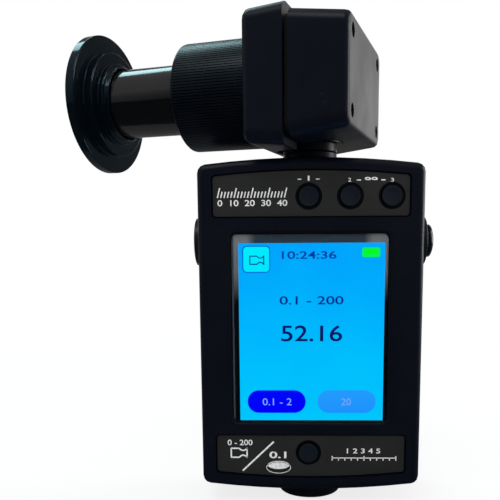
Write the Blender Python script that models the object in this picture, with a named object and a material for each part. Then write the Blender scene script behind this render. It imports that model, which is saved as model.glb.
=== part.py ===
"""Handheld photometer: a display body carrying a swivelling sensor head and a contact tube.

Metres, +Z up. The body stands upright with its display facing -Y, and the origin is
the middle of its flat back. The head turns about a vertical axis above the body's middle
and is stored as it is held in use: lens tube to the left and a little to the rear.
"""

import math

import bmesh
import bpy
from mathutils import Vector

# Air between neighbouring pieces, a cutter's run past the face it cuts, and the weld of spun points
AIR_GAP = 0.0003
CUT_OVERRUN = 0.0020
WELD_DISTANCE = 1e-7

# Body shell: two covers meeting on a stepped parting line
BODY_WIDTH = 0.0640
BODY_END = 0.0210
BODY_DEPTH = 0.0240
BODY_ARCH = 0.0020
BODY_CORNER = 0.0025
FRONT_EDGE = 0.0020
BACK_EDGE = 0.0015
SIDE_WALL = 0.0022
FRONT_WALL = 0.0025
BACK_WALL = 0.0020
INNER_CORNER = 0.0003
BACK_COVER_DEPTH = 0.0080
LIP_HEIGHT = 0.0012
LIP_THICKNESS = 0.0010

# Screw posts inside the body and the four screws through the back cover
POST_RADIUS = 0.0022
POST_STANDOFF = 0.0008
COVER_SCREW_RADIUS = 0.0009
COVER_SCREW_HEAD_RADIUS = 0.0018
COVER_SCREW_HEAD_HEIGHT = 0.0012
COVER_SCREW_SINK = 0.0004
COVER_SCREW_LENGTH = 0.0130
PILOT_DEPTH = 0.0080

# Sunk label panels above and below the display
PANEL_SIDE_MARGIN = 0.0045
TOP_PANEL_MARGIN = 0.00375
TOP_PANEL_HEIGHT = 0.01255
BOTTOM_PANEL_MARGIN = 0.0043
BOTTOM_PANEL_HEIGHT = 0.0124
PANEL_CORNER = 0.0008
PANEL_THICKNESS = 0.0004
PANEL_SINK = 0.0006
PANEL_FIT = 0.0004

# Front push buttons
BUTTON_COLUMN_X = -0.0006
TOP_BUTTON_DROP = 0.00705
BOTTOM_BUTTON_RISE = 0.0072
LAST_BUTTON_MARGIN = 0.0049
BUTTON_RADIUS = 0.0028
BUTTON_FLANGE_RADIUS = 0.0035
BUTTON_FLANGE_THICKNESS = 0.0006
BUTTON_DISH = 0.0002
BUTTON_EDGE = 0.0004
BUTTON_TRAVEL = 0.0006
BUTTON_SINK = 0.0001
BEZEL_HOLE_RADIUS = 0.00375
NUB_RADIUS = 0.0010
NUB_CLEARANCE = 0.0001

# Switches and circuit board behind the buttons
SWITCH_SIDE = 0.0050
DOME_RADIUS = 0.0030
DOME_HEIGHT = 0.0009
DOME_RIM_HEIGHT = 0.0003
DOME_CROWN_RADIUS = 0.0020
BOARD_THICKNESS = 0.0012
BOARD_TOP_REACH = 0.0031
BOARD_SIDE_MARGIN = 0.0058

# Display window, its bevelled opening, and the display behind it
WINDOW_SIDE_MARGIN = 0.0098
WINDOW_X = -0.0003
WINDOW_Z = -0.0002
WINDOW_HEIGHT = 0.0544
WINDOW_CORNER = 0.0015
WINDOW_THICKNESS = 0.0009
WINDOW_SINK = 0.0006
WINDOW_CHAMFER = 0.0003
WINDOW_BEVEL = 0.0012
WINDOW_LEDGE = 0.0010
DISPLAY_MARGIN = 0.0007
DISPLAY_THICKNESS = 0.0022
DISPLAY_FRAME_WIDTH = 0.0014
DISPLAY_CORNER = 0.0006

# Round fittings on the two sides
SIDE_FITTING_RISE = 0.0250
SIDE_FLANGE_RADIUS = 0.0070
SIDE_FLANGE_PROUD = 0.0018
SIDE_FLANGE_EDGE = 0.0005
SIDE_BARREL_RADIUS = 0.0064
SIDE_BARREL_LENGTH = 0.0028
PLUG_DOME = 0.0004
MEASURE_BUTTON_RADIUS = 0.0054
MEASURE_BUTTON_PROUD = 0.0039
MEASURE_BUTTON_DOME = 0.0012
MEASURE_BUTTON_TRAVEL = 0.0012
MEASURE_FLANGE_RADIUS = 0.0062
MEASURE_FLANGE_THICKNESS = 0.0010
MEASURE_SWITCH_WIDTH = 0.0060
MEASURE_SWITCH_DEPTH = 0.0025

# Battery, its sleeve and the screwed cap under the body
BATTERY_AXIS_Y = -0.0110
CELL_RADIUS = 0.0065
CELL_LENGTH = 0.0252
CELL_EDGE = 0.0004
CELL_TERMINAL_RADIUS = 0.0028
CELL_TERMINAL_HEIGHT = 0.0005
SLEEVE_WALL = 0.0007
SLEEVE_END = 0.0010
SPRING_HEIGHT = 0.0020
SPRING_WIRE_RADIUS = 0.00025
SPRING_SMALL_RADIUS = 0.0018
SPRING_LARGE_RADIUS = 0.0040
CAP_RADIUS = 0.0093
CAP_HEIGHT = 0.00335
CAP_EDGE = 0.0006
CAP_PLUG_RADIUS = 0.0072
CAP_PLUG_HEIGHT = 0.0030
COIN_SLOT_WIDTH = 0.0016
COIN_SLOT_LENGTH = 0.0130
COIN_SLOT_DEPTH = 0.0012

# Neck: a bush in the body's top, held by a nut, with the head's post turning in it
BUSH_COLLAR_RADIUS = 0.00785
BUSH_COLLAR_HEIGHT = 0.0017
BUSH_RADIUS = 0.0064
BUSH_DEPTH = 0.0052
BUSH_WALL = 0.0011
NUT_RADIUS = 0.0082
NUT_HEIGHT = 0.0016
NECK_STEM_RADIUS = 0.00784
NECK_STEM_HEIGHT = 0.0023
NECK_FLANGE_RADIUS = 0.00942
NECK_FLANGE_THICKNESS = 0.0010
NECK_WAIST_RADIUS = 0.0046
NECK_HEAD_RADIUS = 0.0060
NECK_HEAD_THICKNESS = 0.0010
NECK_BORE_RADIUS = 0.0034
POST_TAIL = 0.0008
WASHER_THICKNESS = 0.0005
CLIP_THICKNESS = 0.0007
CLIP_RADIUS = 0.0063
CLIP_GROOVE = 0.0005

# Head: a front block and a rear shell clamped on the neck by four screws
HEAD_CLEARANCE = 0.00206
HEAD_TURN = math.radians(163.3)
HEAD_WIDTH = 0.0472
HEAD_FRONT_REACH = 0.0126
HEAD_SEAM_REACH = 0.0011
HEAD_REAR_REACH = 0.0163
HEAD_SEAM_HEIGHT = 0.0360
HEAD_FLARE = 0.0008
SHELL_STEP = 0.0019
SHELL_SLOPE = 0.0018
SHELL_DRAFT = 0.0002
HEAD_CORNER = 0.0035
HEAD_FRONT_EDGE = 0.0020
HEAD_REAR_EDGE = 0.0015
HEAD_TOP_WALL = 0.0022
HEAD_CAVITY_CORNER = 0.0012
HEAD_SIDE_WALL = 0.0032
HEAD_FRONT_WALL = 0.0035
HEAD_REAR_WALL = 0.0020
SEAL_THICKNESS = 0.00086
SEAL_INSET = 0.0012
HEAD_SCREW_SIDE_INSET = 0.00554
HEAD_SCREW_END_INSET = 0.00443
HEAD_BOSS_RADIUS = 0.0027
HEAD_SCREW_RADIUS = 0.0008
HEAD_SCREW_HEAD_RADIUS = 0.0016
HEAD_SCREW_HEAD_HEIGHT = 0.0012
HEAD_SCREW_POCKET = 0.0032
HEAD_SCREW_REACH = 0.0070

# Sensor inside the head
SENSOR_BOARD_CLEARANCE = 0.00036
SENSOR_BOARD_DROP = 0.0046
SENSOR_POST_INSET = 0.0020
SENSOR_POST_RADIUS = 0.0014
SENSOR_BOARD_REACH = 0.0032
DIODE_RADIUS = 0.0040
DIODE_RIM_RADIUS = 0.0046
DIODE_RIM_HEIGHT = 0.0006
DIODE_HEIGHT = 0.0042

# Spigot on the head's front, with the filter glass in its bore
SPIGOT_LENGTH = 0.0100
SPIGOT_WALL = 0.0018
SPIGOT_LEDGE = 0.0016
SPIGOT_LIP = 0.0016
SPIGOT_FLANGE_THICKNESS = 0.0016
FILTER_SEAT_RISE = 0.0005
FILTER_THICKNESS = 0.0015

# Knurled lock collar
COLLAR_WALL = 0.0022
COLLAR_GAP = 0.00035
COLLAR_LENGTH = 0.0245
COLLAR_SHOULDER = 0.0012
KNURL_DEPTH = 0.0003
KNURL_RIDGES = 72

# Contact tube with its lens, stop and retaining ring
SOCKET_WALL = 0.0026
SOCKET_GAP = 0.0006
SOCKET_LENGTH = 0.0134
SOCKET_RELIEF = 0.0015
TUBE_STEP = 0.00025
TUBE_END = 0.0641
TUBE_WALL = 0.00185
TUBE_EDGE = 0.0003
LENS_LEDGE_SETBACK = 0.0134
LENS_LEDGE_LENGTH = 0.0010
LENS_LEDGE_WIDTH = 0.0008
LENS_EDGE_THICKNESS = 0.0020
LENS_BULGE = 0.0008
LENS_SHOULDER = 0.0006
LENS_REAR_BULGE = 0.0004
LENS_REAR_SHOULDER = 0.0003
LENS_RING_LENGTH = 0.0015
LENS_RING_WALL = 0.0013
STOP_THICKNESS = 0.0008
STOP_HOLE_RADIUS = 0.0035

# Stepped contact flange at the tube's mouth
HUB_OVERLAP = 0.0041
HUB_STEP_WALLS = (0.0009, 0.00195, 0.00535)
HUB_STEP_LENGTHS = (0.0014, 0.0016, 0.0027)
FLANGE_WIDTH = 0.01055
FLANGE_THICKNESS = 0.0028
FLANGE_EDGE = 0.0006
MOUTH_LIP = 0.0004
MOUTH_FLARE = 0.0008

# Facet counts
FINE_SIDES = 40
ROUND_SIDES = 28
HIDDEN_SIDES = 18
SMALL_SIDES = 14
SCREW_SIDES = 10
SHOULDER_STEPS = 2
CORNER_STEPS = 3
ARCH_STEPS = 4
EDGE_STEPS = 3
SPRING_TURNS = 2.5
SPRING_POINTS_PER_TURN = 8

# Levels and widths that follow from the sizes above
half_width = BODY_WIDTH / 2
BODY_HEIGHT = WINDOW_HEIGHT + 2 * BODY_END
half_height = BODY_HEIGHT / 2
arch_radius = (half_width ** 2 + BODY_ARCH ** 2) / (2 * BODY_ARCH)
front_y = -BODY_DEPTH
inner_front_y = front_y + FRONT_WALL
middle_y = front_y / 2
inner_half_width = half_width - SIDE_WALL
inner_half_height = half_height - SIDE_WALL
post_x = inner_half_width - POST_RADIUS - POST_STANDOFF
post_z = inner_half_height - BODY_ARCH - POST_RADIUS

panel_half_width = half_width - PANEL_SIDE_MARGIN
top_panel_top = half_height - TOP_PANEL_MARGIN
top_panel_bottom = top_panel_top - TOP_PANEL_HEIGHT
bottom_panel_bottom = -half_height + BOTTOM_PANEL_MARGIN
bottom_panel_top = bottom_panel_bottom + BOTTOM_PANEL_HEIGHT
top_button_z = top_panel_top - TOP_BUTTON_DROP
bottom_button_z = bottom_panel_bottom + BOTTOM_BUTTON_RISE
last_button_x = panel_half_width - LAST_BUTTON_MARGIN
button_hole_radius = BUTTON_RADIUS + AIR_GAP

window_half_width = half_width - WINDOW_SIDE_MARGIN
window_half_height = WINDOW_HEIGHT / 2
display_front_y = inner_front_y + AIR_GAP
display_back_y = display_front_y + DISPLAY_THICKNESS
display_half_width = window_half_width + DISPLAY_MARGIN
display_half_height = window_half_height + DISPLAY_MARGIN
board_front_y = display_back_y + AIR_GAP
board_back_y = board_front_y + BOARD_THICKNESS
button_back_y = inner_front_y + AIR_GAP + BUTTON_FLANGE_THICKNESS

sleeve_bore_radius = CELL_RADIUS + AIR_GAP
sleeve_radius = sleeve_bore_radius + SLEEVE_WALL
cap_top_z = -half_height - AIR_GAP
cell_bottom_z = cap_top_z + CAP_PLUG_HEIGHT + AIR_GAP
sleeve_bottom_z = cell_bottom_z
cell_top_z = cell_bottom_z + CELL_LENGTH
spring_top_z = cell_top_z + AIR_GAP + SPRING_HEIGHT
sleeve_top_z = spring_top_z + AIR_GAP + SLEEVE_END

top_hole_radius = BUSH_RADIUS + AIR_GAP
bush_collar_bottom = half_height + AIR_GAP
bush_top = bush_collar_bottom + BUSH_COLLAR_HEIGHT
bush_bottom = half_height - BUSH_DEPTH
bush_bore_radius = BUSH_RADIUS - BUSH_WALL
post_radius = bush_bore_radius - AIR_GAP
nut_top = inner_half_height - BODY_ARCH * (NUT_RADIUS / half_width) ** 2 - AIR_GAP
nut_bottom = nut_top - NUT_HEIGHT
washer_top = bush_bottom - AIR_GAP
clip_top = washer_top - WASHER_THICKNESS - AIR_GAP
clip_bottom = clip_top - CLIP_THICKNESS
stem_bottom = bush_top + AIR_GAP
flange_bottom = stem_bottom + NECK_STEM_HEIGHT
flange_top = flange_bottom + NECK_FLANGE_THICKNESS
head_axis_z = half_height + HEAD_CLEARANCE + HEAD_SEAM_HEIGHT / 2
cavity_half_height = HEAD_SEAM_HEIGHT / 2 - SHELL_STEP - SHELL_SLOPE - HEAD_TOP_WALL
cavity_floor_z = head_axis_z - cavity_half_height
neck_head_bottom = cavity_floor_z + AIR_GAP
neck_top = neck_head_bottom + NECK_HEAD_THICKNESS

shell_seam_x = HEAD_SEAM_REACH - SEAL_THICKNESS - 2 * AIR_GAP
shell_seam_half = HEAD_SEAM_HEIGHT / 2 - SHELL_STEP
shell_rear_half = shell_seam_half - SHELL_SLOPE
head_screw_y = HEAD_WIDTH / 2 - HEAD_SCREW_SIDE_INSET
head_screw_z = shell_rear_half - HEAD_SCREW_END_INSET
sensor_board_half_width = head_screw_y - HEAD_BOSS_RADIUS - SENSOR_BOARD_CLEARANCE
sensor_board_half_height = cavity_half_height - SENSOR_BOARD_DROP
cavity_half_width = HEAD_WIDTH / 2 - HEAD_SIDE_WALL
cavity_front_x = HEAD_FRONT_REACH - HEAD_FRONT_WALL
cavity_rear_x = -HEAD_REAR_REACH + HEAD_REAR_WALL
spigot_flange_radius = cavity_half_height - AIR_GAP
spigot_radius = spigot_flange_radius - SPIGOT_LIP
spigot_end = HEAD_FRONT_REACH + SPIGOT_LENGTH
spigot_bore_radius = spigot_radius - SPIGOT_WALL
filter_seat = HEAD_FRONT_REACH + FILTER_SEAT_RISE

socket_bore_radius = spigot_radius + AIR_GAP
socket_radius = socket_bore_radius + SOCKET_WALL
socket_start = HEAD_FRONT_REACH + SOCKET_GAP
socket_end = socket_start + SOCKET_LENGTH
socket_floor = spigot_end + SOCKET_RELIEF
collar_bore_radius = socket_radius + AIR_GAP
collar_radius = collar_bore_radius + COLLAR_WALL
collar_start = HEAD_FRONT_REACH + COLLAR_GAP
collar_end = collar_start + COLLAR_LENGTH
tube_radius = socket_bore_radius - TUBE_STEP
tube_bore_radius = tube_radius - TUBE_WALL
glass_radius = tube_bore_radius - AIR_GAP
lens_ledge = socket_end + LENS_LEDGE_SETBACK
lens_ledge_end = lens_ledge + LENS_LEDGE_LENGTH
lens_back = lens_ledge_end + AIR_GAP
lens_front = lens_back + LENS_EDGE_THICKNESS


def finish(name, colour, roughness, metallic=0.0):
    """A plain material of one colour, named after its piece."""
    material = bpy.data.materials.new(name + "_finish")
    material.use_nodes = True
    shader = material.node_tree.nodes["Principled BSDF"]
    shader.inputs["Base Color"].default_value = (*colour, 1.0)
    shader.inputs["Roughness"].default_value = roughness
    shader.inputs["Metallic"].default_value = metallic
    return material


def black_plastic(name):
    return finish(name, (0.020, 0.021, 0.024), 0.50)


def black_anodised(name):
    return finish(name, (0.014, 0.015, 0.018), 0.22, 0.8)


def steel(name):
    return finish(name, (0.55, 0.56, 0.58), 0.30, 1.0)


def clear_glass(name):
    return finish(name, (0.30, 0.36, 0.40), 0.05)


def circuit_green(name):
    return finish(name, (0.02, 0.16, 0.08), 0.45)


def switch_grey(name):
    return finish(name, (0.10, 0.10, 0.11), 0.5)


def add_object(name, shape, parent, material=None, place=(0, 0, 0), turn=(0, 0, 0)):
    """Turn a bmesh into an object under its parent; one without a material is a cutter."""
    bmesh.ops.recalc_face_normals(shape, faces=shape.faces)
    mesh = bpy.data.meshes.new(name)
    shape.to_mesh(mesh)
    shape.free()
    mesh.shade_smooth()
    mesh.set_sharp_from_angle(angle=math.radians(32))
    item = bpy.data.objects.new(name, mesh)
    item.parent = parent
    item.location = place
    item.rotation_euler = turn
    if material is None:
        item.hide_render = True
        item.display_type = 'WIRE'
    else:
        mesh.materials.append(material)
    bpy.context.scene.collection.objects.link(item)
    return item


def add_empty(name, parent=None, place=(0, 0, 0), turn=(0, 0, 0)):
    item = bpy.data.objects.new(name, None)
    item.parent = parent
    item.location = place
    item.rotation_euler = turn
    bpy.context.scene.collection.objects.link(item)
    return item


def combine(item, tool, operation='DIFFERENCE'):
    """Cut the item with the tool, or join the tool to it."""
    modifier = item.modifiers.new(tool.name, 'BOOLEAN')
    modifier.operation = operation
    modifier.solver = 'EXACT'
    modifier.object = tool


def add_loft(shape, rings, closed=False):
    """Skin a row of equal rings; the ends are capped unless the row is closed on itself."""
    rows = [[shape.verts.new(point) for point in ring] for ring in rings]
    count = len(rings[0])
    pairs = list(zip(rows, rows[1:]))
    if closed:
        pairs.append((rows[-1], rows[0]))
    else:
        shape.faces.new(rows[0])
        shape.faces.new(list(reversed(rows[-1])))
    for lower, upper in pairs:
        for step in range(count):
            after = (step + 1) % count
            shape.faces.new((lower[step], upper[step], upper[after], lower[after]))


def add_turned(shape, profile, sides, centre=(0, 0)):
    """Spin a profile of (radius, height) points about the vertical line through the centre."""
    verts = [shape.verts.new((centre[0] + radius, centre[1], height)) for radius, height in profile]
    edges = [shape.edges.new(pair) for pair in zip(verts, verts[1:])]
    if profile[0][0] > 0:
        edges.append(shape.edges.new((verts[-1], verts[0])))
    bmesh.ops.spin(shape, geom=verts + edges, cent=(centre[0], centre[1], 0), axis=(0, 0, 1),
                   angle=math.tau, steps=sides, use_merge=True)
    bmesh.ops.remove_doubles(shape, verts=shape.verts, dist=WELD_DISTANCE)


def turned(name, profile, sides, parent, material=None, place=(0, 0, 0), turn=(0, 0, 0)):
    shape = bmesh.new()
    add_turned(shape, profile, sides)
    return add_object(name, shape, parent, material, place, turn)


def disc(radius, low, high):
    return [(0, low), (radius, low), (radius, high), (0, high)]


def ring(inner, outer, low, high):
    return [(inner, low), (outer, low), (outer, high), (inner, high)]


def turned_group(name, profile, sides, centres, parent, turn=(0, 0, 0), place=(0, 0, 0)):
    """Tool that holds the same turned form at several centres."""
    shape = bmesh.new()
    for centre in centres:
        add_turned(shape, profile, sides, centre)
    return add_object(name, shape, parent, None, place, turn)


def half_edge(width, level, radius, corner):
    """Right half of a top edge: the corner's arc, then the arch up to the middle."""
    centre_x = width - corner
    if radius is None:
        centre_z = level - corner
        lean = 0.0
    else:
        arch_centre = level - radius
        centre_z = arch_centre + math.sqrt((radius - corner) ** 2 - centre_x ** 2)
        lean = math.atan2(centre_x, centre_z - arch_centre)
    points = []
    for step in range(CORNER_STEPS + 1):
        angle = (math.pi / 2 - lean) * step / CORNER_STEPS
        points.append((centre_x + corner * math.cos(angle), centre_z + corner * math.sin(angle)))
    if radius is not None:
        for step in range(1, ARCH_STEPS + 1):
            angle = lean * (1 - step / ARCH_STEPS)
            points.append((radius * math.sin(angle), arch_centre + radius * math.cos(angle)))
    return points


def outline(width, top, bottom, corner, top_radius=None, bottom_radius=None, inset=0.0):
    """Rounded outline of half the given width, each end straight or arched, drawn inwards."""
    rounding = max(corner - inset, min(corner, INNER_CORNER))
    halves = []
    for level, radius in ((top, top_radius), (-bottom, bottom_radius)):
        arch = None if radius is None else radius - inset
        halves.append(half_edge(width - inset, level - inset, arch, rounding))
    upper, lower = halves
    right_top = upper
    left_top = [(-x, z) for x, z in reversed(upper) if x > 0]
    left_bottom = [(-x, -z) for x, z in lower]
    right_bottom = [(x, -z) for x, z in reversed(lower) if x > 0]
    return right_top + left_top + left_bottom + right_bottom


def body_outline(inset=0.0):
    return outline(half_width, half_height, -half_height, BODY_CORNER, arch_radius, arch_radius, inset)


def panel_outline(top, bottom, margin, grow=0.0):
    """Outline of a label panel: its outer edge follows the body's arch at the panel's margin."""
    arch = arch_radius - margin
    top_arch = arch if top > 0 else None
    bottom_arch = None if top > 0 else arch
    return outline(panel_half_width, top, bottom, PANEL_CORNER, top_arch, bottom_arch, -grow)


def rectangle(width, height, corner, inset=0.0):
    return outline(width, height, -height, corner, inset=inset)


def upright(points, depth, shift=(0, 0)):
    """Stand an outline in the XZ plane at a depth along Y."""
    return [Vector((x + shift[0], depth, z + shift[1])) for x, z in points]


def across(points, reach):
    """Stand an outline in the YZ plane at a reach along X."""
    return [Vector((reach, x, z)) for x, z in points]


def edge_rows(radius, steps=EDGE_STEPS):
    """Inset and advance of each row around a rounded edge, from the face to the side."""
    rows = []
    for step in range(steps + 1):
        angle = math.pi / 2 * step / steps
        rows.append((radius * (1 - math.sin(angle)), radius * (1 - math.cos(angle))))
    return rows


def plate(name, points, low, high, parent, material=None, shift=(0, 0)):
    shape = bmesh.new()
    add_loft(shape, [upright(points, low, shift), upright(points, high, shift)])
    return add_object(name, shape, parent, material)


def build_front_cover(case):
    """Deep front tub with a tongue round its rim."""
    rim = -BACK_COVER_DEPTH - AIR_GAP / 2
    tongue = SIDE_WALL - LIP_THICKNESS
    rings = [upright(body_outline(inset), front_y + advance) for inset, advance in edge_rows(FRONT_EDGE)]
    rings += [upright(body_outline(inset), depth) for inset, depth in (
        (0.0, rim), (tongue, rim), (tongue, rim + LIP_HEIGHT), (SIDE_WALL, rim + LIP_HEIGHT),
        (SIDE_WALL, inner_front_y))]
    shape = bmesh.new()
    add_loft(shape, rings)
    return add_object("front_cover", shape, case, black_plastic("front_cover"))


def build_back_cover(case):
    """Shallow back tray whose rim is stepped to take the front cover's tongue."""
    rim = -BACK_COVER_DEPTH + AIR_GAP / 2
    rebate = SIDE_WALL - LIP_THICKNESS - AIR_GAP
    rings = [upright(body_outline(inset), -advance) for inset, advance in edge_rows(BACK_EDGE)]
    rings += [upright(body_outline(inset), depth) for inset, depth in (
        (0.0, rim), (rebate, rim), (rebate, rim + LIP_HEIGHT), (SIDE_WALL, rim + LIP_HEIGHT),
        (SIDE_WALL, -BACK_WALL))]
    shape = bmesh.new()
    add_loft(shape, rings)
    return add_object("back_cover", shape, case, black_plastic("back_cover"))


def shape_front_openings(front_cover, case):
    """Panel recesses, bevelled window opening and button holes of the front cover."""
    recess_floor = front_y + PANEL_SINK + PANEL_THICKNESS + AIR_GAP
    for name, top, bottom, margin in (
            ("top_recess", top_panel_top, top_panel_bottom, TOP_PANEL_MARGIN),
            ("bottom_recess", bottom_panel_top, bottom_panel_bottom, BOTTOM_PANEL_MARGIN)):
        points = panel_outline(top, bottom, margin, PANEL_FIT)
        combine(front_cover, plate(name, points, front_y - CUT_OVERRUN, recess_floor, case))

    pane_back = front_y + WINDOW_SINK + WINDOW_THICKNESS
    opening = []
    for grow, depth in ((WINDOW_BEVEL, front_y - CUT_OVERRUN), (WINDOW_BEVEL, front_y),
                        (AIR_GAP, front_y + WINDOW_SINK), (AIR_GAP, pane_back + AIR_GAP),
                        (-WINDOW_LEDGE, pane_back + AIR_GAP), (-WINDOW_LEDGE, inner_front_y + CUT_OVERRUN)):
        points = rectangle(window_half_width, window_half_height, WINDOW_CORNER, -grow)
        opening.append(upright(points, depth, (WINDOW_X, WINDOW_Z)))
    shape = bmesh.new()
    add_loft(shape, opening)
    combine(front_cover, add_object("window_opening", shape, case))

    centres = [(x, z) for name, x, z in button_places()]
    hole = disc(button_hole_radius, -CUT_OVERRUN, FRONT_WALL + CUT_OVERRUN)
    combine(front_cover, turned_group("button_holes", hole, SMALL_SIDES, [(x, -z) for x, z in centres], case,
                                      turn=(-math.pi / 2, 0, 0), place=(0, front_y, 0)))


def shape_body_bores(covers, case):
    """Round holes that both covers share: the two sides, the neck and the battery cap."""
    hole = SIDE_BARREL_RADIUS + AIR_GAP
    reach = half_width + CUT_OVERRUN
    side = turned("side_bore", disc(hole, -reach, reach), ROUND_SIDES, case,
                  place=(0, middle_y, SIDE_FITTING_RISE), turn=(0, math.pi / 2, 0))
    wall_low = inner_half_height - BODY_ARCH
    neck = turned("neck_bore", disc(top_hole_radius, wall_low, half_height + CUT_OVERRUN), ROUND_SIDES,
                  case, place=(0, middle_y, 0))
    battery = turned("battery_bore", disc(CAP_PLUG_RADIUS + AIR_GAP, -half_height - CUT_OVERRUN, -wall_low),
                     ROUND_SIDES, case, place=(0, BATTERY_AXIS_Y, 0))
    for cover in covers:
        for tool in (side, neck, battery):
            combine(cover, tool)


def post_centres():
    return [(side * post_x, end * post_z) for side in (-1, 1) for end in (-1, 1)]


def add_screw_posts(front_cover, back_cover, case):
    """Four posts in each cover; the front ones are tapped, the back ones take the screws' shanks."""
    lying = (-math.pi / 2, 0, 0)
    centres = [(x, -z) for x, z in post_centres()]
    front_end = -BACK_COVER_DEPTH - AIR_GAP / 2
    back_end = -BACK_COVER_DEPTH + AIR_GAP / 2
    hole = COVER_SCREW_RADIUS + AIR_GAP
    root = inner_front_y - FRONT_WALL / 2
    hole_floor = front_end - PILOT_DEPTH
    front_post = [(0, root), (POST_RADIUS, root), (POST_RADIUS, front_end), (hole, front_end),
                  (hole, hole_floor), (0, hole_floor)]
    combine(front_cover, turned_group("front_posts", front_post, SCREW_SIDES, centres, case, turn=lying),
            'UNION')

    back_post = disc(POST_RADIUS, back_end, -BACK_WALL / 2)
    back_posts = turned_group("back_posts", back_post, SCREW_SIDES, centres, case, turn=lying)
    combine(back_cover, back_posts, 'UNION')
    pocket = COVER_SCREW_HEAD_RADIUS + AIR_GAP
    pocket_floor = -COVER_SCREW_SINK - COVER_SCREW_HEAD_HEIGHT - AIR_GAP
    screw_way = [(0, back_end - CUT_OVERRUN), (hole, back_end - CUT_OVERRUN), (hole, pocket_floor),
                 (pocket, pocket_floor), (pocket, CUT_OVERRUN), (0, CUT_OVERRUN)]
    combine(back_cover, turned_group("screw_ways", screw_way, SCREW_SIDES, centres, case, turn=lying))


def build_cover_screws(case):
    head_top = -COVER_SCREW_SINK
    head_base = head_top - COVER_SCREW_HEAD_HEIGHT
    tip = head_base - COVER_SCREW_LENGTH
    screw = [(0, tip), (COVER_SCREW_RADIUS, tip), (COVER_SCREW_RADIUS, head_base),
             (COVER_SCREW_HEAD_RADIUS, head_base), (COVER_SCREW_HEAD_RADIUS, head_top), (0, head_top)]
    for number, (x, z) in enumerate(post_centres(), 1):
        name = f"cover_screw_{number}"
        turned(name, screw, SCREW_SIDES, case, steel(name), (x, 0, z), (-math.pi / 2, 0, 0))


def build_panels(case):
    """Two thin label plates lying in the front cover's recesses."""
    face = front_y + PANEL_SINK
    for name, top, bottom, margin in (
            ("top_panel", top_panel_top, top_panel_bottom, TOP_PANEL_MARGIN),
            ("bottom_panel", bottom_panel_top, bottom_panel_bottom, BOTTOM_PANEL_MARGIN)):
        panel = plate(name, panel_outline(top, bottom, margin), face, face + PANEL_THICKNESS, case,
                      finish(name, (0.035, 0.035, 0.037), 0.42))
        centres = [(x, -z) for button, x, z in button_places() if bottom < z < top]
        hole = disc(BEZEL_HOLE_RADIUS, -CUT_OVERRUN, CUT_OVERRUN)
        combine(panel, turned_group(name + "_holes", hole, ROUND_SIDES, centres, case,
                                    turn=(-math.pi / 2, 0, 0), place=(0, face, 0)))


def button_places():
    """Name and centre of each front button; the upper three are evenly spread."""
    middle_x = (BUTTON_COLUMN_X + last_button_x) / 2
    return (("lamp_button", BUTTON_COLUMN_X, top_button_z),
            ("recall_button", middle_x, top_button_z),
            ("store_button", last_button_x, top_button_z),
            ("display_button", BUTTON_COLUMN_X, bottom_button_z))


def build_buttons(case):
    """Front buttons with a dished top, kept in their holes by a flange behind the wall."""
    top = BODY_DEPTH - BUTTON_SINK
    flange_front = -inner_front_y - AIR_GAP
    flange_back = -button_back_y
    nub = flange_back - NUB_CLEARANCE
    profile = [(0, nub), (NUB_RADIUS, nub), (NUB_RADIUS, flange_back), (BUTTON_FLANGE_RADIUS, flange_back),
               (BUTTON_FLANGE_RADIUS, flange_front), (BUTTON_RADIUS, flange_front),
               (BUTTON_RADIUS, top - BUTTON_EDGE), (BUTTON_RADIUS - BUTTON_EDGE, top),
               (0, top - BUTTON_DISH)]
    for name, x, z in button_places():
        turned(name, profile, SMALL_SIDES, case, black_plastic(name), (x, 0, z), (math.pi / 2, 0, 0))


def build_switches(case):
    """Three square switches on the board, and the low dome under the display button."""
    face = button_back_y + NUB_CLEARANCE + BUTTON_TRAVEL + AIR_GAP / 2
    points = rectangle(SWITCH_SIDE / 2, SWITCH_SIDE / 2, INNER_CORNER)
    for button, x, z in button_places()[:3]:
        name = button.replace("button", "switch")
        plate(name, points, face, board_front_y - AIR_GAP, case, switch_grey(name), (x, z))

    base = -face - DOME_HEIGHT
    button, x, z = button_places()[3]
    dome = [(0, base), (DOME_RADIUS, base), (DOME_RADIUS, base + DOME_RIM_HEIGHT),
            (DOME_CROWN_RADIUS, -face), (0, -face)]
    turned("display_switch", dome, SMALL_SIDES, case, steel("display_switch"), (x, 0, z),
           (math.pi / 2, 0, 0))


def build_display(case):
    """Clear window, the display behind it and the moulded frame that holds it."""
    face = front_y + WINDOW_SINK
    shift = (WINDOW_X, WINDOW_Z)
    rings = []
    for inset, depth in ((WINDOW_CHAMFER, face), (0.0, face + WINDOW_CHAMFER),
                         (0.0, face + WINDOW_THICKNESS)):
        points = rectangle(window_half_width, window_half_height, WINDOW_CORNER, inset)
        rings.append(upright(points, depth, shift))
    shape = bmesh.new()
    add_loft(shape, rings)
    add_object("display_window", shape, case, clear_glass("display_window"))

    points = rectangle(display_half_width, display_half_height, DISPLAY_CORNER)
    plate("display_module", points, display_front_y, display_back_y, case,
          finish("display_module", (0.0, 0.45, 0.95), 0.2), shift)

    shape = bmesh.new()
    rows = []
    for grow, depth in ((AIR_GAP, display_front_y), (AIR_GAP + DISPLAY_FRAME_WIDTH, display_front_y),
                        (AIR_GAP + DISPLAY_FRAME_WIDTH, display_back_y), (AIR_GAP, display_back_y)):
        points = rectangle(display_half_width, display_half_height, DISPLAY_CORNER, -grow)
        rows.append(upright(points, depth, shift))
    add_loft(shape, rows, closed=True)
    add_object("display_frame", shape, case, black_plastic("display_frame"))


def build_board(case):
    """Main circuit board behind the display, ending above the battery sleeve."""
    width = inner_half_width - BOARD_SIDE_MARGIN
    top = top_button_z + BOARD_TOP_REACH
    bottom = sleeve_top_z + AIR_GAP
    plate("main_board", outline(width, top, bottom, DISPLAY_CORNER), board_front_y, board_back_y, case,
          circuit_green("main_board"))


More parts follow.
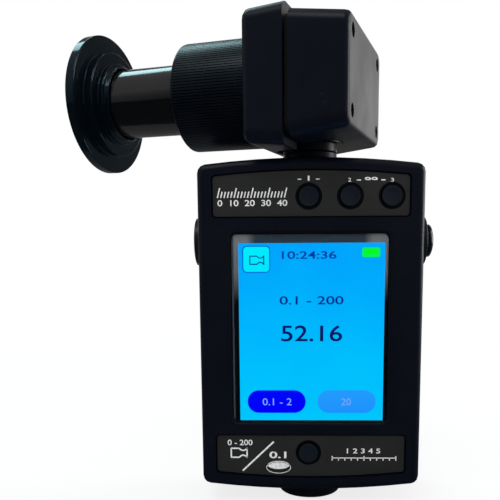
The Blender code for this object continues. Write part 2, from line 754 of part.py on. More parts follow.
def build_side_fittings(case):
    """Measure button in its flanged ring on the right, and a plain plug on the left."""
    seat = half_width + AIR_GAP
    rim = half_width + SIDE_FLANGE_PROUD
    inner = seat - SIDE_BARREL_LENGTH
    bore = MEASURE_BUTTON_RADIUS + AIR_GAP
    place = (0, middle_y, SIDE_FITTING_RISE)
    right = (0, math.pi / 2, 0)
    left = (0, -math.pi / 2, 0)
    barrel = [(SIDE_BARREL_RADIUS, inner), (SIDE_BARREL_RADIUS, seat), (SIDE_FLANGE_RADIUS, seat),
              (SIDE_FLANGE_RADIUS, rim - SIDE_FLANGE_EDGE), (SIDE_FLANGE_RADIUS - SIDE_FLANGE_EDGE, rim)]
    turned("measure_ring", [(bore, inner)] + barrel + [(bore, rim)], ROUND_SIDES, case,
           black_plastic("measure_ring"), place, right)
    turned("left_side_plug", [(0, inner)] + barrel + [(0, rim + PLUG_DOME)], ROUND_SIDES, case,
           black_plastic("left_side_plug"), place, left)

    crown = half_width + MEASURE_BUTTON_PROUD
    flange_top = inner - AIR_GAP
    flange_low = flange_top - MEASURE_FLANGE_THICKNESS
    button = [(0, flange_low), (MEASURE_FLANGE_RADIUS, flange_low), (MEASURE_FLANGE_RADIUS, flange_top),
              (MEASURE_BUTTON_RADIUS, flange_top), (MEASURE_BUTTON_RADIUS, crown - MEASURE_BUTTON_DOME)]
    for step in range(1, EDGE_STEPS + 1):
        angle = math.pi / 2 * step / EDGE_STEPS
        button.append((MEASURE_BUTTON_RADIUS * math.cos(angle) if step < EDGE_STEPS else 0,
                       crown - MEASURE_BUTTON_DOME * (1 - math.sin(angle))))
    turned("measure_button", button, ROUND_SIDES, case, black_plastic("measure_button"), place, right)

    switch_face = flange_low - MEASURE_BUTTON_TRAVEL - AIR_GAP
    half = MEASURE_SWITCH_WIDTH / 2
    back = middle_y + half
    front = board_back_y + AIR_GAP
    box = [(switch_face - MEASURE_SWITCH_DEPTH, front), (switch_face, front),
           (switch_face, back), (switch_face - MEASURE_SWITCH_DEPTH, back)]
    shape = bmesh.new()
    low = SIDE_FITTING_RISE - half
    add_loft(shape, [[Vector((x, y, z)) for x, y in box] for z in (low, low + MEASURE_SWITCH_WIDTH)])
    add_object("measure_switch", shape, case, switch_grey("measure_switch"))


def build_battery(case):
    """Cell, the sleeve it slides into, the contact spring at its end and the coin-slotted cap."""
    axis = (0, BATTERY_AXIS_Y, 0)
    sleeve_floor = sleeve_top_z - SLEEVE_END
    sleeve = [(0, sleeve_floor), (sleeve_bore_radius, sleeve_floor), (sleeve_bore_radius, sleeve_bottom_z),
              (sleeve_radius, sleeve_bottom_z), (sleeve_radius, sleeve_top_z), (0, sleeve_top_z)]
    turned("battery_sleeve", sleeve, HIDDEN_SIDES, case, black_plastic("battery_sleeve"), axis)

    crown = cell_top_z - CELL_TERMINAL_HEIGHT
    cell = [(0, cell_bottom_z), (CELL_RADIUS - CELL_EDGE, cell_bottom_z),
            (CELL_RADIUS, cell_bottom_z + CELL_EDGE), (CELL_RADIUS, crown - CELL_EDGE),
            (CELL_RADIUS - CELL_EDGE, crown), (CELL_TERMINAL_RADIUS, crown),
            (CELL_TERMINAL_RADIUS, cell_top_z), (0, cell_top_z)]
    turned("battery_cell", cell, HIDDEN_SIDES, case, steel("battery_cell"), axis)
    build_contact_spring(case)

    base = cap_top_z - CAP_HEIGHT
    plug_top = cap_top_z + CAP_PLUG_HEIGHT
    cap = [(0, base), (CAP_RADIUS - CAP_EDGE, base), (CAP_RADIUS, base + CAP_EDGE), (CAP_RADIUS, cap_top_z),
           (CAP_PLUG_RADIUS, cap_top_z), (CAP_PLUG_RADIUS, plug_top), (0, plug_top)]
    battery_cap = turned("battery_cap", cap, ROUND_SIDES, case, black_plastic("battery_cap"), axis)
    shape = bmesh.new()
    slot = rectangle(COIN_SLOT_LENGTH / 2, COIN_SLOT_WIDTH / 2, INNER_CORNER)
    add_loft(shape, [[Vector((x, y, z)) for x, y in slot]
                     for z in (base - CUT_OVERRUN, base + COIN_SLOT_DEPTH)])
    combine(battery_cap, add_object("coin_slot", shape, case, place=axis))


def build_contact_spring(case):
    """Conical wire spring that presses on the cell's terminal."""
    bottom = cell_top_z + AIR_GAP + SPRING_WIRE_RADIUS
    top = spring_top_z - SPRING_WIRE_RADIUS
    count = round(SPRING_TURNS * SPRING_POINTS_PER_TURN)
    curve = bpy.data.curves.new("battery_spring", 'CURVE')
    curve.dimensions = '3D'
    curve.bevel_depth = SPRING_WIRE_RADIUS
    curve.bevel_resolution = 1
    curve.use_fill_caps = True
    line = curve.splines.new('POLY')
    line.points.add(count)
    for step in range(count + 1):
        share = step / count
        angle = math.tau * SPRING_TURNS * share
        radius = SPRING_SMALL_RADIUS + (SPRING_LARGE_RADIUS - SPRING_SMALL_RADIUS) * share
        line.points[step].co = (radius * math.cos(angle), radius * math.sin(angle),
                                bottom + (top - bottom) * share, 1)
    spring = bpy.data.objects.new("battery_spring", curve)
    spring.parent = case
    spring.location = (0, BATTERY_AXIS_Y, 0)
    curve.materials.append(steel("battery_spring"))
    bpy.context.scene.collection.objects.link(spring)


def build_bush(case):
    """Flanged bush in the body's top with its nut inside; the head's post turns in it."""
    place = (0, middle_y, 0)
    turned("neck_bush",
           [(bush_bore_radius, bush_bottom), (BUSH_RADIUS, bush_bottom), (BUSH_RADIUS, bush_collar_bottom),
            (BUSH_COLLAR_RADIUS, bush_collar_bottom), (BUSH_COLLAR_RADIUS, bush_top),
            (bush_bore_radius, bush_top)],
           HIDDEN_SIDES, case, black_anodised("neck_bush"), place)
    turned("bush_nut", ring(BUSH_RADIUS + AIR_GAP, NUT_RADIUS, nut_bottom, nut_top), HIDDEN_SIDES, case,
           steel("bush_nut"), place)


def build_neck(swivel):
    """Head's swivel post with its flange, spring washer and retaining clip; heights are the body's."""
    lift = (0, 0, -head_axis_z)
    tail = clip_bottom - POST_TAIL
    groove = post_radius - CLIP_GROOVE
    post = [(NECK_BORE_RADIUS, tail), (post_radius, tail), (post_radius, clip_bottom), (groove, clip_bottom),
            (groove, clip_top), (post_radius, clip_top), (post_radius, stem_bottom),
            (NECK_STEM_RADIUS, stem_bottom), (NECK_STEM_RADIUS, flange_bottom),
            (NECK_FLANGE_RADIUS, flange_bottom), (NECK_FLANGE_RADIUS, flange_top),
            (NECK_WAIST_RADIUS, flange_top), (NECK_WAIST_RADIUS, neck_head_bottom),
            (NECK_HEAD_RADIUS, neck_head_bottom), (NECK_HEAD_RADIUS, neck_top), (NECK_BORE_RADIUS, neck_top)]
    turned("swivel_neck", post, HIDDEN_SIDES, swivel, black_anodised("swivel_neck"), lift)
    washer_low = washer_top - WASHER_THICKNESS
    turned("spring_washer", ring(post_radius + AIR_GAP, BUSH_RADIUS, washer_low, washer_top),
           HIDDEN_SIDES, swivel, steel("spring_washer"), lift)
    edge = AIR_GAP / 2
    turned("retaining_clip", ring(groove + AIR_GAP, CLIP_RADIUS, clip_bottom + edge, clip_top - edge),
           HIDDEN_SIDES, swivel, steel("retaining_clip"), lift)


def block_outline(width, height, inset=0.0):
    return rectangle(width, height, HEAD_CORNER, inset)


def build_head_front(swivel):
    """Front block of the head: it flares towards the seam and has a rounded front edge."""
    width = HEAD_WIDTH / 2
    seam = HEAD_SEAM_HEIGHT / 2
    front = seam - HEAD_FLARE
    shape = bmesh.new()
    rings = [across(block_outline(width, front, inset), HEAD_FRONT_REACH - advance)
             for inset, advance in edge_rows(HEAD_FRONT_EDGE)]
    cavity = rectangle(cavity_half_width, cavity_half_height, HEAD_CAVITY_CORNER)
    rings += [across(block_outline(width, seam), HEAD_SEAM_REACH), across(cavity, HEAD_SEAM_REACH),
              across(cavity, cavity_front_x)]
    add_loft(shape, rings)
    return add_object("head_front", shape, swivel, black_plastic("head_front"))


def build_head_rear(swivel):
    """Rear shell of the head, drafted towards its flat rear face."""
    shape = bmesh.new()
    rings = [across(block_outline(HEAD_WIDTH / 2 - SHELL_DRAFT, shell_rear_half, inset),
                    -HEAD_REAR_REACH + advance) for inset, advance in edge_rows(HEAD_REAR_EDGE)]
    cavity = rectangle(cavity_half_width, cavity_half_height, HEAD_CAVITY_CORNER)
    rings += [across(block_outline(HEAD_WIDTH / 2, shell_seam_half), shell_seam_x),
              across(cavity, shell_seam_x), across(cavity, cavity_rear_x)]
    add_loft(shape, rings)
    return add_object("head_rear", shape, swivel, black_plastic("head_rear"))


def build_head_seal(swivel):
    """Thin dark seal sunk in the seam between the head's two halves."""
    shape = bmesh.new()
    low = shell_seam_x + AIR_GAP
    outer = block_outline(HEAD_WIDTH / 2, shell_seam_half, SEAL_INSET)
    inner = rectangle(cavity_half_width, cavity_half_height, HEAD_CAVITY_CORNER)
    add_loft(shape, [across(inner, low), across(outer, low), across(outer, low + SEAL_THICKNESS),
                     across(inner, low + SEAL_THICKNESS)], closed=True)
    return add_object("head_seal", shape, swivel, finish("head_seal", (0.008, 0.008, 0.009), 0.8))


def shape_neck_seat(front, rear, seal, swivel):
    """Seat for the neck's flange under the head, and the half holes that grip its waist."""
    seat_top = flange_top + AIR_GAP - head_axis_z
    low = -HEAD_SEAM_HEIGHT
    seat = NECK_FLANGE_RADIUS + AIR_GAP
    waist = NECK_WAIST_RADIUS + AIR_GAP
    profile = [(0, low), (seat, low), (seat, seat_top), (waist, seat_top), (waist, 0), (0, 0)]
    tool = turned("neck_seat", profile, ROUND_SIDES, swivel)
    for item in (front, rear, seal):
        combine(item, tool)


def head_screw_centres():
    return [(side * head_screw_z, end * head_screw_y) for side in (-1, 1) for end in (-1, 1)]


def add_head_screws(front, rear, swivel):
    """Corner bosses in both halves, deep screw pockets in the rear face, and the four screws."""
    lying = (0, math.pi / 2, 0)
    centres = head_screw_centres()
    hole = HEAD_SCREW_RADIUS + AIR_GAP
    hole_end = HEAD_SCREW_REACH + AIR_GAP
    root = cavity_front_x + HEAD_FRONT_WALL / 2
    front_boss = [(0, hole_end), (hole, hole_end), (hole, HEAD_SEAM_REACH),
                  (HEAD_BOSS_RADIUS, HEAD_SEAM_REACH), (HEAD_BOSS_RADIUS, root), (0, root)]
    front_bosses = turned_group("front_bosses", front_boss, SCREW_SIDES, centres, swivel, turn=lying)
    combine(front, front_bosses, 'UNION')
    rear_boss = disc(HEAD_BOSS_RADIUS, cavity_rear_x - HEAD_REAR_WALL / 2, shell_seam_x)
    combine(rear, turned_group("rear_bosses", rear_boss, SCREW_SIDES, centres, swivel, turn=lying), 'UNION')

    pocket = HEAD_SCREW_HEAD_RADIUS + AIR_GAP
    pocket_floor = -HEAD_REAR_REACH + HEAD_SCREW_POCKET
    outside = -HEAD_REAR_REACH - CUT_OVERRUN
    screw_way = [(0, outside), (pocket, outside), (pocket, pocket_floor), (hole, pocket_floor),
                 (hole, shell_seam_x + CUT_OVERRUN), (0, shell_seam_x + CUT_OVERRUN)]
    combine(rear, turned_group("head_screw_ways", screw_way, SCREW_SIDES, centres, swivel, turn=lying))

    base = pocket_floor - AIR_GAP
    top = base - HEAD_SCREW_HEAD_HEIGHT
    screw = [(0, top), (HEAD_SCREW_HEAD_RADIUS, top), (HEAD_SCREW_HEAD_RADIUS, base),
             (HEAD_SCREW_RADIUS, base), (HEAD_SCREW_RADIUS, HEAD_SCREW_REACH), (0, HEAD_SCREW_REACH)]
    for number, (drop, side) in enumerate(centres, 1):
        name = f"head_screw_{number}"
        turned(name, screw, SCREW_SIDES, swivel, steel(name), (0, side, -drop), lying)


def build_sensor(front, swivel):
    """Sensor board on four posts behind the spigot, with the photodiode at its middle."""
    lying = (0, math.pi / 2, 0)
    board_rear = SENSOR_BOARD_REACH - BOARD_THICKNESS
    post_y = sensor_board_half_width - SENSOR_POST_INSET
    post_z = sensor_board_half_height - SENSOR_POST_INSET
    centres = [(side * post_z, end * post_y) for side in (-1, 1) for end in (-1, 1)]
    post = disc(SENSOR_POST_RADIUS, SENSOR_BOARD_REACH + AIR_GAP, cavity_front_x + HEAD_FRONT_WALL / 2)
    combine(front, turned_group("sensor_posts", post, SCREW_SIDES, centres, swivel, turn=lying), 'UNION')
    shape = bmesh.new()
    points = rectangle(sensor_board_half_width, sensor_board_half_height, INNER_CORNER)
    add_loft(shape, [across(points, board_rear), across(points, SENSOR_BOARD_REACH)])
    add_object("sensor_board", shape, swivel, circuit_green("sensor_board"))

    seat = SENSOR_BOARD_REACH + AIR_GAP
    rim = seat + DIODE_RIM_HEIGHT
    diode = [(0, seat), (DIODE_RIM_RADIUS, seat), (DIODE_RIM_RADIUS, rim), (DIODE_RADIUS, rim),
             (DIODE_RADIUS, seat + DIODE_HEIGHT), (0, seat + DIODE_HEIGHT)]
    turned("photodiode", diode, SMALL_SIDES, swivel, steel("photodiode"), turn=lying)


def build_spigot(front, swivel):
    """Spigot through the head's front wall, and the filter glass on the ledge in its bore."""
    lying = (0, math.pi / 2, 0)
    flange_front = cavity_front_x - AIR_GAP
    rear = flange_front - SPIGOT_FLANGE_THICKNESS
    ledge_radius = spigot_bore_radius - SPIGOT_LEDGE
    hole = turned("spigot_hole", disc(spigot_radius + AIR_GAP, rear, HEAD_FRONT_REACH + CUT_OVERRUN),
                  ROUND_SIDES, swivel, turn=lying)
    combine(front, hole)
    spigot = [(ledge_radius, rear), (spigot_flange_radius, rear), (spigot_flange_radius, flange_front),
              (spigot_radius, flange_front), (spigot_radius, spigot_end),
              (spigot_bore_radius, spigot_end), (spigot_bore_radius, filter_seat),
              (ledge_radius, filter_seat)]
    turned("head_spigot", spigot, HIDDEN_SIDES, swivel, black_anodised("head_spigot"), turn=lying)
    glass = disc(spigot_bore_radius - AIR_GAP, filter_seat + AIR_GAP,
                 filter_seat + AIR_GAP + FILTER_THICKNESS)
    turned("filter_glass", glass, HIDDEN_SIDES, swivel, clear_glass("filter_glass"), turn=lying)


def knurled_circle(radius, depth):
    """Circle of straight ridges: one crest and one root for each ridge."""
    points = []
    for step in range(2 * KNURL_RIDGES):
        angle = math.pi * step / KNURL_RIDGES
        reach = radius - depth * (step % 2)
        points.append((reach * math.cos(angle), reach * math.sin(angle)))
    return points


def build_lock_collar(attachment):
    """Knurled collar that turns on the tube's socket and locks it to the spigot."""
    lying = (0, math.pi / 2, 0)
    rows = [(collar_radius, KNURL_DEPTH, collar_start)]
    for inset, advance in reversed(edge_rows(COLLAR_SHOULDER, SHOULDER_STEPS)):
        depth = KNURL_DEPTH * (1 - inset / COLLAR_SHOULDER)
        rows.append((collar_radius - inset, depth, collar_end - advance))
    shape = bmesh.new()
    add_loft(shape, [[Vector((x, y, height)) for x, y in knurled_circle(radius, depth)]
                     for radius, depth, height in rows])
    collar = add_object("knurled_collar", shape, attachment, black_anodised("knurled_collar"), turn=lying)
    bore = collar_bore_radius
    throat = tube_radius + AIR_GAP
    step = socket_end + AIR_GAP
    tool = [(0, collar_start - CUT_OVERRUN), (bore, collar_start - CUT_OVERRUN), (bore, step),
            (throat, step), (throat, collar_end + CUT_OVERRUN), (0, collar_end + CUT_OVERRUN)]
    combine(collar, turned("collar_bore", tool, ROUND_SIDES, attachment, turn=lying))


def build_contact_tube(attachment):
    """Tube with a socket over the spigot and a ledge in its bore for the lens."""
    lying = (0, math.pi / 2, 0)
    ledge = tube_bore_radius - LENS_LEDGE_WIDTH
    tube = [(socket_bore_radius, socket_start), (socket_radius, socket_start), (socket_radius, socket_end),
            (tube_radius, socket_end), (tube_radius, TUBE_END - TUBE_EDGE),
            (tube_radius - TUBE_EDGE, TUBE_END), (tube_bore_radius, TUBE_END),
            (tube_bore_radius, lens_ledge_end), (ledge, lens_ledge_end), (ledge, lens_ledge),
            (tube_bore_radius, lens_ledge), (tube_bore_radius, socket_floor),
            (socket_bore_radius, socket_floor)]
    turned("contact_tube", tube, ROUND_SIDES, attachment, black_anodised("contact_tube"), turn=lying)

    stop_end = lens_ledge - AIR_GAP
    turned("aperture_stop", ring(STOP_HOLE_RADIUS, glass_radius, stop_end - STOP_THICKNESS, stop_end),
           SMALL_SIDES, attachment, black_anodised("aperture_stop"), turn=lying)
    lens = [(0, lens_back - LENS_REAR_BULGE), (glass_radius / 2, lens_back - LENS_REAR_SHOULDER),
            (glass_radius, lens_back), (glass_radius, lens_front),
            (glass_radius / 2, lens_front + LENS_SHOULDER), (0, lens_front + LENS_BULGE)]
    turned("objective_lens", lens, HIDDEN_SIDES, attachment, clear_glass("objective_lens"), turn=lying)
    start = lens_front + AIR_GAP
    turned("lens_ring", ring(glass_radius - LENS_RING_WALL, glass_radius, start, start + LENS_RING_LENGTH),
           HIDDEN_SIDES, attachment, black_anodised("lens_ring"), turn=lying)


def build_contact_flange(attachment):
    """Stepped hub and broad flat flange that is held against a screen or lamp."""
    lying = (0, math.pi / 2, 0)
    bore = tube_radius + AIR_GAP
    low = TUBE_END - HUB_OVERLAP
    profile = [(bore, low)]
    for wall, length in zip(HUB_STEP_WALLS, HUB_STEP_LENGTHS):
        profile += [(tube_radius + wall, low), (tube_radius + wall, low + length)]
        low += length
    rim = tube_radius + FLANGE_WIDTH
    face = low + FLANGE_THICKNESS
    mouth = tube_bore_radius - MOUTH_LIP
    profile += [(rim - FLANGE_EDGE, low), (rim, low + FLANGE_EDGE), (rim, face - FLANGE_EDGE),
                (rim - FLANGE_EDGE, face), (mouth + MOUTH_FLARE, face), (mouth, face - MOUTH_FLARE),
                (mouth, TUBE_END + AIR_GAP), (bore, TUBE_END + AIR_GAP)]
    turned("contact_flange", profile, FINE_SIDES, attachment, black_anodised("contact_flange"), turn=lying)


def build_case(case):
    front_cover = build_front_cover(case)
    back_cover = build_back_cover(case)
    add_screw_posts(front_cover, back_cover, case)
    shape_front_openings(front_cover, case)
    shape_body_bores((front_cover, back_cover), case)
    build_cover_screws(case)
    build_panels(case)
    build_buttons(case)
    build_switches(case)
    build_display(case)
    build_board(case)
    build_side_fittings(case)
    build_battery(case)
    build_bush(case)


def build_head(swivel):
    build_neck(swivel)
    front = build_head_front(swivel)
    rear = build_head_rear(swivel)
    seal = build_head_seal(swivel)
    shape_neck_seat(front, rear, seal, swivel)
    add_head_screws(front, rear, swivel)
    build_sensor(front, swivel)
    build_spigot(front, swivel)


def build_attachment(attachment):
    build_contact_tube(attachment)
    build_lock_collar(attachment)
    build_contact_flange(attachment)


def main():
    for item in list(bpy.data.objects):
        bpy.data.objects.remove(item, do_unlink=True)
    case = add_empty("case_frame")
    swivel = add_empty("swivel_axis", case, (0, middle_y, head_axis_z), (0, 0, HEAD_TURN))
    attachment = add_empty("attachment_axis", swivel)
    build_case(case)
    build_head(swivel)
    build_attachment(attachment)


main()
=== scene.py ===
import math

import bpy
from mathutils import Matrix, Vector


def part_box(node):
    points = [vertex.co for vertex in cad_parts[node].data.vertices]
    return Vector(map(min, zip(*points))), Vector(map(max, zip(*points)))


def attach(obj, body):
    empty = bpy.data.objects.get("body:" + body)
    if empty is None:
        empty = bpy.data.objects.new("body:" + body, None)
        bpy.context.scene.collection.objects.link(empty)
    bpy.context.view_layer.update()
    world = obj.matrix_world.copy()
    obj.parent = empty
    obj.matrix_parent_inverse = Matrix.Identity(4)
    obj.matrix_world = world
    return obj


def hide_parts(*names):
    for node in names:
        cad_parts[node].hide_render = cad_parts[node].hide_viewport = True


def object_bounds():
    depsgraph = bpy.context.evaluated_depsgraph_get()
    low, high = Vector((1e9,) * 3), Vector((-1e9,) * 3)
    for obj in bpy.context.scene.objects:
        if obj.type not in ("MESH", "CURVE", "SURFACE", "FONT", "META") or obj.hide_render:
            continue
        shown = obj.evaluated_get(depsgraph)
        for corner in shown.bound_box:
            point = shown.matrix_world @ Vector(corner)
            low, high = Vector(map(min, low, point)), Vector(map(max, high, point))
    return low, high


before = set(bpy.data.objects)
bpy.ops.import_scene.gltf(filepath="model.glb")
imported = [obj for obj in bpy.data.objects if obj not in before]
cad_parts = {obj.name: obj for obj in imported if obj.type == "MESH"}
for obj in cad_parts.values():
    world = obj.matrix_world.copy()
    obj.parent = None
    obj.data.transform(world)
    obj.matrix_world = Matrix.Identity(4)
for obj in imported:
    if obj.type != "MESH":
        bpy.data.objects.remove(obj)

bpy.context.view_layer.update()
cad_low, cad_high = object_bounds()

# Viewpoint
# The photograph looks slightly down at the display from close by, just left of its middle, and
# its frame is moved off the lens axis to hold the whole instrument.
viewpoint_place = Vector((-0.005245, -0.214146, 0.023953))
viewpoint_forward = Vector((-0.02771, 0.98955, -0.14152)).normalized()
viewpoint_right = Vector((0.99961, 0.02715, -0.00594)).normalized()
viewpoint_up = viewpoint_right.cross(viewpoint_forward)

bpy.ops.object.select_all(action='DESELECT')
bpy.ops.object.camera_add()
viewpoint = bpy.context.object
viewpoint.name = "viewpoint"
lens_axes = Matrix((viewpoint_right, viewpoint_up, -viewpoint_forward)).transposed()
viewpoint.matrix_world = Matrix.Translation(viewpoint_place) @ lens_axes.to_4x4()
viewpoint.data.lens = 48.14
viewpoint.data.sensor_width = 36
viewpoint.data.shift_x = -0.04775
viewpoint.data.shift_y = 0.1813
viewpoint.data.clip_start = 0.01
bpy.context.scene.camera = viewpoint
bpy.context.scene.view_settings.view_transform = 'Standard'


# Studio surround, lamps and floor
# White paper all round, dimmed in front of the display, so that glossy black mirrors white from
# behind and dark from in front. Four soft lamps hang round it; the floor is the same paper.
class Paint:
    """One output of a shader node. Sums written with it add the nodes that do them."""

    def __init__(self, tree, socket=None):
        self.tree = tree
        self.socket = socket

    def node(self, kind, settings, values, output=0):
        made = self.tree.nodes.new(kind)
        for name, value in settings.items():
            if name == "stops":
                stops = made.color_ramp.elements
                while len(stops) < len(value):
                    stops.new(1)
                for stop, (place, colour) in zip(stops, value):
                    stop.position = place
                    stop.color = (*colour, 1)
            else:
                setattr(made, name, value)
        for name, value in values.items():
            if isinstance(value, Paint):
                self.tree.links.new(value.socket, made.inputs[name])
            else:
                made.inputs[name].default_value = value
        return Paint(self.tree, made.outputs[output] if made.outputs else None)

    def maths(self, operation, first, second=0.0):
        return self.node("ShaderNodeMath", {"operation": operation}, {0: first, 1: second})

    def __add__(self, other):
        return self.maths('ADD', self, other)

    def __sub__(self, other):
        return self.maths('SUBTRACT', self, other)

    def __rsub__(self, other):
        return self.maths('SUBTRACT', other, self)

    def __mul__(self, other):
        return self.maths('MULTIPLY', self, other)

    __radd__ = __add__
    __rmul__ = __mul__

    def ramp(self, *stops):
        """Value that follows straight lines through (place, value) stops."""
        greys = [(place, (value, value, value)) for place, value in stops]
        return self.node("ShaderNodeValToRGB", {"stops": greys}, {"Fac": self})

    def along(self, axis):
        """How far this direction or place is along X, Y or Z."""
        return self.node("ShaderNodeSeparateXYZ", {}, {"Vector": self}, axis)

    def dot(self, axis):
        """How far this direction or place is along any axis."""
        return self.node("ShaderNodeVectorMath", {"operation": 'DOT_PRODUCT'},
                         {0: self, 1: axis}, "Value")


surround = bpy.context.scene.world or bpy.data.worlds.new("surround")
bpy.context.scene.world = surround
surround.use_nodes = True
surround.node_tree.nodes.clear()
air = Paint(surround.node_tree)
lens_ray, glass_ray, gloss_ray, bounces = [
    air.node("ShaderNodeLightPath", {}, {}, kind)
    for kind in ("Is Camera Ray", "Is Transmission Ray", "Is Glossy Ray", "Diffuse Depth")]
heading = air.node("ShaderNodeTexCoord", {}, {}, "Generated")
behind = heading.along("Y")

# What glossy parts mirror: bright paper straight behind the object, grey paper in front of it,
# and a dark patch round the place of the camera. What the eye and the pane see is all white.
dark_heading = (-0.27, -0.96, -0.10)
fill_light, wall_light, edge_light, gap_light, room_light, dark_light = \
    0.75, 0.9, 0.14, 0.10, 0.34, 0.01
mirrored_room = behind.ramp((0.30, room_light), (0.55, gap_light), (0.76, edge_light),
                            (0.90, wall_light)) \
    * heading.dot(dark_heading).ramp((0.70, 1.0), (0.95, dark_light / room_light))
seen_room = air.maths('MAXIMUM', mirrored_room,
                      glass_ray * behind.ramp((0.20, 0.0), (0.40, 1.0)))
seen_ray = air.maths('MAXIMUM', gloss_ray, glass_ray) * (1 - air.maths('MINIMUM', bounces, 1.0))
level = air.maths('MAXIMUM', lens_ray, seen_ray * seen_room) \
    + (1 - air.maths('MAXIMUM', lens_ray, seen_ray)) * fill_light
backdrop = air.node("ShaderNodeBackground", {}, {"Color": level, "Strength": 1.0})
air.node("ShaderNodeOutputWorld", {}, {"Surface": backdrop})


def hang_lamp(name, place, aim, size, power, tint):
    bpy.ops.object.select_all(action='DESELECT')
    bpy.ops.object.light_add(type='AREA', location=place)
    lamp = bpy.context.object
    lamp.name = name
    lamp.data.shape = 'RECTANGLE'
    lamp.data.size, lamp.data.size_y = size
    lamp.data.energy = power
    lamp.data.color = tint
    lamp.rotation_euler = (Vector(aim) - Vector(place)).to_track_quat('-Z', 'Y').to_euler()


hang_lamp("overhead_lamp", (-0.40, 0.46, 0.90), (-0.03, 0, 0.05), (0.60, 0.24), 2.3,
          (0.62, 0.96, 1.0))
hang_lamp("front_lamp", (-0.25, -0.50, 0.95), (0, 0, 0), (0.60, 0.40), 2.5, (1.0, 1.0, 1.0))
hang_lamp("side_lamp", (0.84, 0.22, 0.12), (0, 0, 0), (0.40, 0.80), 7.0, (1.0, 0.99, 0.98))
hang_lamp("rear_lamp", (0.42, 0.95, 0.30), (0, 0, 0.06), (0.30, 0.40), 0.45, (1.0, 0.98, 0.95))

floor_width, floor_gap = 8.0, 0.0002
bpy.ops.object.select_all(action='DESELECT')
bpy.ops.mesh.primitive_plane_add(size=floor_width, location=(0, 0, cad_low.z - floor_gap))
floor = bpy.context.object
floor.name = "floor"
bpy.ops.object.transform_apply(location=True, rotation=True, scale=True)
white_paper = bpy.data.materials.new("white_paper")
white_paper.use_nodes = True
white_paper.node_tree.nodes.clear()
sheet = Paint(white_paper.node_tree)
bounce_ray, mirror_ray = [sheet.node("ShaderNodeLightPath", {}, {}, kind)
                          for kind in ("Is Diffuse Ray", "Is Glossy Ray")]
spread = sheet.node("ShaderNodeTexCoord", {}, {}, "Object")
reach = sheet.node("ShaderNodeVectorMath", {"operation": 'LENGTH'}, {0: spread}, "Value")

# Close by, the paper takes the object's shadow; further off it glows white. Glossy parts mirror
# it dark in front of the object and grey behind it.
near_white, far_white = 0.80, 1.0
white_share = (1 - bounce_ray) * reach.ramp((0.08, near_white), (0.45, far_white))
mirrored_floor = (spread.along("Y") * 4.0 + 0.5).ramp((0.30, 0.01), (0.52, 0.02), (0.56, 0.17))
glow = 1 - mirror_ray * (1 - mirrored_floor)
matt_paper = sheet.node("ShaderNodeBsdfDiffuse", {}, {"Color": (0.85, 0.85, 0.85, 1)})
lit_paper = sheet.node("ShaderNodeEmission", {}, {"Color": glow, "Strength": 1.0})
paper = sheet.node("ShaderNodeMixShader", {}, {0: sheet.maths('MAXIMUM', white_share, mirror_ray),
                                               1: matt_paper, 2: lit_paper})
sheet.node("ShaderNodeOutputMaterial", {}, {"Surface": paper})
floor.data.materials.append(white_paper)


# Back cover
# The rear half of the display body, a shallow tub moulded in black ABS with a fine
# spark-eroded grain. Four screws pull it against the lip of the front cover.
def open_finish(name):
    """New material with no nodes yet, and the place on the piece that its patterns follow."""
    material = bpy.data.materials.new(name)
    material.use_nodes = True
    material.node_tree.nodes.clear()
    return material, Paint(material.node_tree).node("ShaderNodeTexCoord", {}, {}, "Object")


def close_finish(place, **settings):
    """Principled shader with the settings given by socket name, words joined by underscores."""
    sockets = {name.replace("_", " "): value for name, value in settings.items()}
    shader = place.node("ShaderNodeBsdfPrincipled", {}, sockets)
    place.node("ShaderNodeOutputMaterial", {}, {"Surface": shader})


def cloud(place, scale, detail):
    """Random pattern, finer with a larger scale and rougher with more detail."""
    return place.node("ShaderNodeTexNoise", {}, {"Vector": place, "Scale": scale, "Detail": detail})


def relief(height, strength, depth):
    """Surface normal over a pattern that is too fine to be geometry."""
    return height.node("ShaderNodeBump", {},
                       {"Height": height, "Strength": strength, "Distance": depth}, "Normal")


def colour_between(share, low, high):
    low, high = (value if isinstance(value, Paint) else (*value, 1) for value in (low, high))
    return share.node("ShaderNodeMix", {"data_type": 'RGBA'}, {0: share, 6: low, 7: high}, 2)


def moulded_plastic(name, colour, rubbed, dullness, grain, gloss=0.5):
    """Grained plastic with duller and shinier areas from handling, and fine paler specks."""
    material, place = open_finish(name)
    sparks, handling, dust = cloud(place, 3600, 2), cloud(place, 70, 5), cloud(place, 1300, 1)
    specks = dust.ramp((0.70, 0.0), (0.78, 1.0)) * handling.ramp((0.45, 0.0), (0.70, 0.8))
    close_finish(place, Base_Color=colour_between(specks + handling * 0.15, colour, rubbed),
                 Roughness=handling * 0.18 + sparks * 0.06 + (dullness - 0.12),
                 Specular_IOR_Level=gloss, Normal=relief(sparks, grain, 0.00006))
    return material


def select_only(piece):
    bpy.ops.object.select_all(action='DESELECT')
    piece.select_set(True)
    bpy.context.view_layer.objects.active = piece


def soften(piece, width, steps=2):
    """Small round on every edge where the faces turn by more than 40 degrees."""
    bevel = piece.modifiers.new("soft_edges", 'BEVEL')
    bevel.width = width
    bevel.segments = steps
    bevel.limit_method = 'ANGLE'
    bevel.angle_limit = math.radians(40.0)
    bpy.ops.object.modifier_apply(modifier=bevel.name)


def finish_piece(piece, material, body, smooth_below=38.0):
    """Finish of the selected piece. Its broad faces keep their own normals, so that only the
    rounds between them turn the light."""
    piece.data.materials.clear()
    piece.data.materials.append(material)
    bpy.ops.object.shade_smooth_by_angle(angle=math.radians(smooth_below))
    even_shade = piece.modifiers.new("even_shade", 'WEIGHTED_NORMAL')
    even_shade.keep_sharp = True
    bpy.ops.object.modifier_apply(modifier=even_shade.name)
    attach(piece, body)


